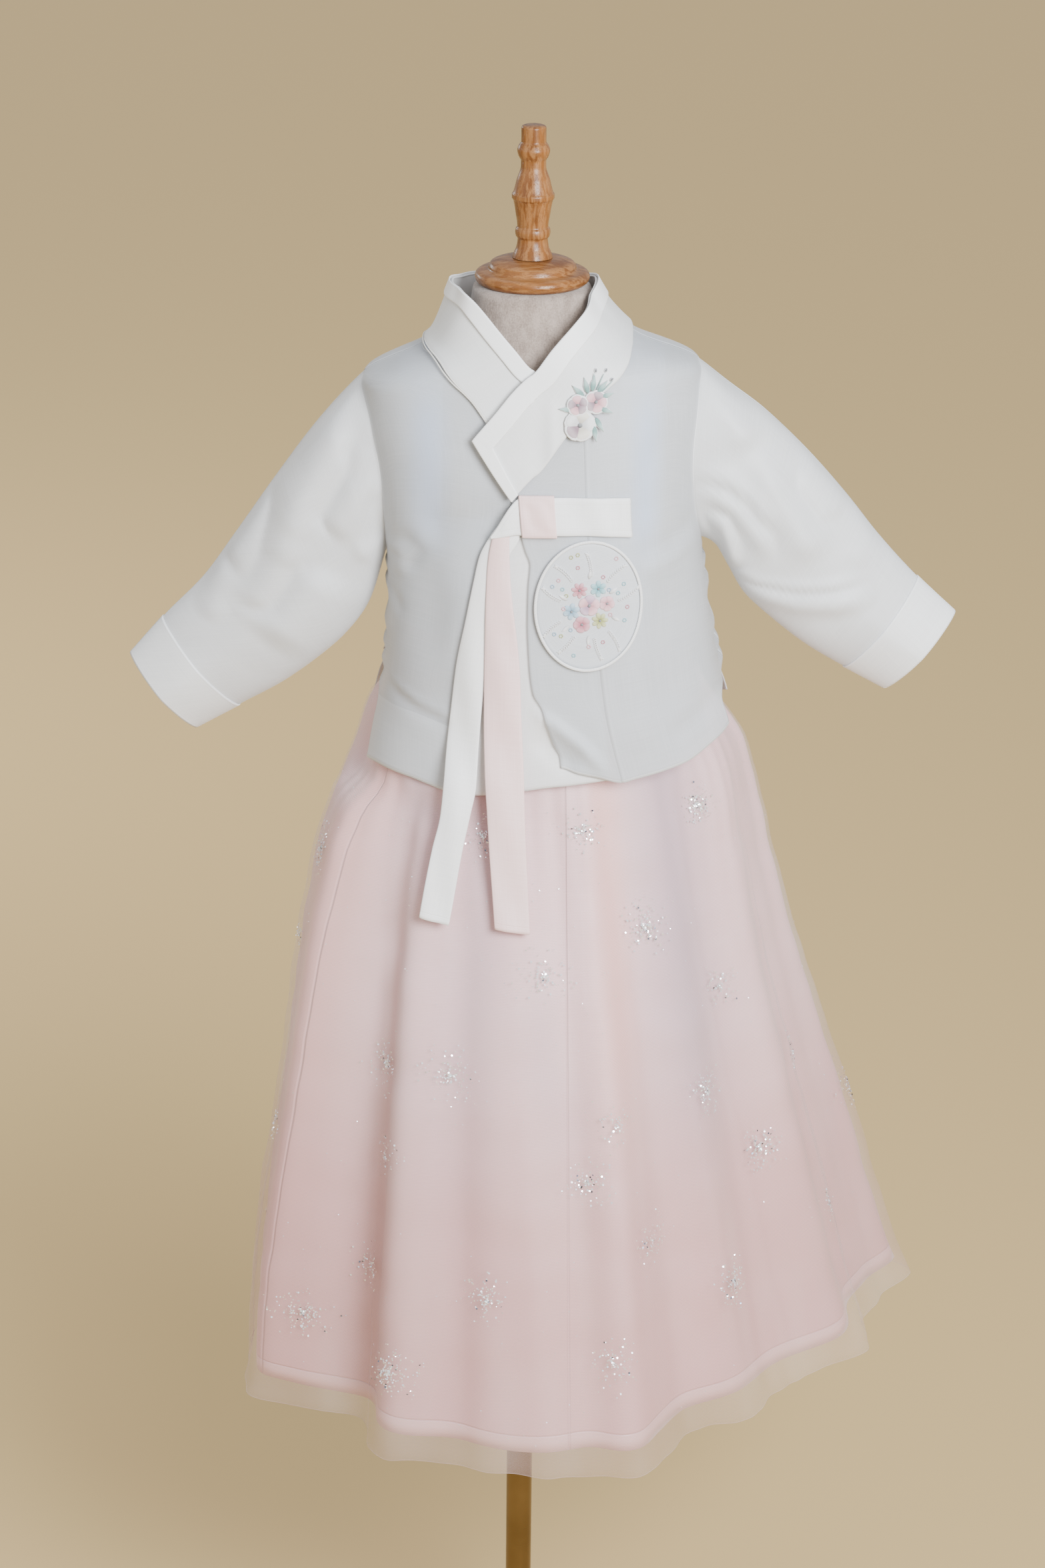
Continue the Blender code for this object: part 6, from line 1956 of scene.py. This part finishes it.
# ---------------------------------------------------------------- floor, lights and camera
# A pale seamless floor under wide soft lights: a softbox high in front on the right, even light
# from far off behind it, a weaker fill on the left, a little from above and behind, and a
# softbox over the floor at the left. The camera stands in front and looks down a little.
FLOOR_COLOUR = (0.61, 0.43, 0.190)
WORLD_LIGHT = 0.60
FLOOR_SIZE = 40.0
CAMERA_SPOT, CAMERA_DOWN, CAMERA_ROLL, CAMERA_LENS = (-0.00312, -2.5188, 1.800), 21.65, 0.6, 85.0

floor_paint = Finish("studio floor", FLOOR_COLOUR, Roughness=0.85)
plane = bmesh.new()
bmesh.ops.create_grid(plane, x_segments=1, y_segments=1, size=FLOOR_SIZE / 2)
floor_mesh = bpy.data.meshes.new("studio_floor")
plane.to_mesh(floor_mesh)
plane.free()
floor_mesh.materials.append(floor_paint.material)
floor = bpy.data.objects.new("studio_floor", floor_mesh)
bpy.context.scene.collection.objects.link(floor)


def light(name, kind, spot, aim, power, colour, **settings):
    """A light at a spot, turned to what it lights."""
    data = bpy.data.lights.new(name, kind)
    data.energy, data.color = power, colour
    for setting, value in settings.items():
        setattr(data, setting, value)
    made = bpy.data.objects.new(name, data)
    bpy.context.scene.collection.objects.link(made)
    turned_to = (Vector(spot) - Vector(aim)).to_track_quat("Z", "Y").to_matrix().to_4x4()
    made.matrix_world = Matrix.Translation(spot) @ turned_to


light("key softbox", "AREA", (0.62, -1.25, 1.50), (0.0, 0.0, 0.95), 42.0, (0.945, 0.975, 1.0),
      shape="DISK", size=0.7)
light("floor softbox", "AREA", (-1.7, 1.9, 1.6), (-0.85, 2.1, 0.0), 26.0, (1.0, 0.97, 0.92),
      shape="DISK", size=0.9)
for name, spot, power, spread, colour in (
    ("far key light", (1.3, -2.5, 2.0), 1.6, 30.0, (0.96, 0.98, 1.0)),
    ("fill light", (-2.0, -1.6, 1.0), 0.5, 50.0, (0.94, 0.97, 1.0)),
    ("top light", (-0.3, 0.9, 2.6), 0.5, 50.0, (1.0, 1.0, 1.0)),
):
    light(name, "SUN", spot, (0.0, 0.0, 0.0), power, colour, angle=radians(spread))
world = bpy.data.worlds.new("studio")
world.use_nodes = True
even_light = world.node_tree.nodes["Background"].inputs
even_light["Color"].default_value = (0.92, 0.96, 1.0, 1.0)
even_light["Strength"].default_value = WORLD_LIGHT
bpy.context.scene.world = world

camera_data = bpy.data.cameras.new("camera")
camera_data.lens, camera_data.sensor_width, camera_data.sensor_fit = CAMERA_LENS, 36.0, "AUTO"
camera = bpy.data.objects.new("camera", camera_data)
bpy.context.scene.collection.objects.link(camera)
camera.matrix_world = (
    Matrix.Translation(CAMERA_SPOT)
    @ Matrix.Rotation(radians(90 - CAMERA_DOWN), 4, "X")
    @ Matrix.Rotation(radians(CAMERA_ROLL), 4, "Z")
)
bpy.context.scene.camera = camera
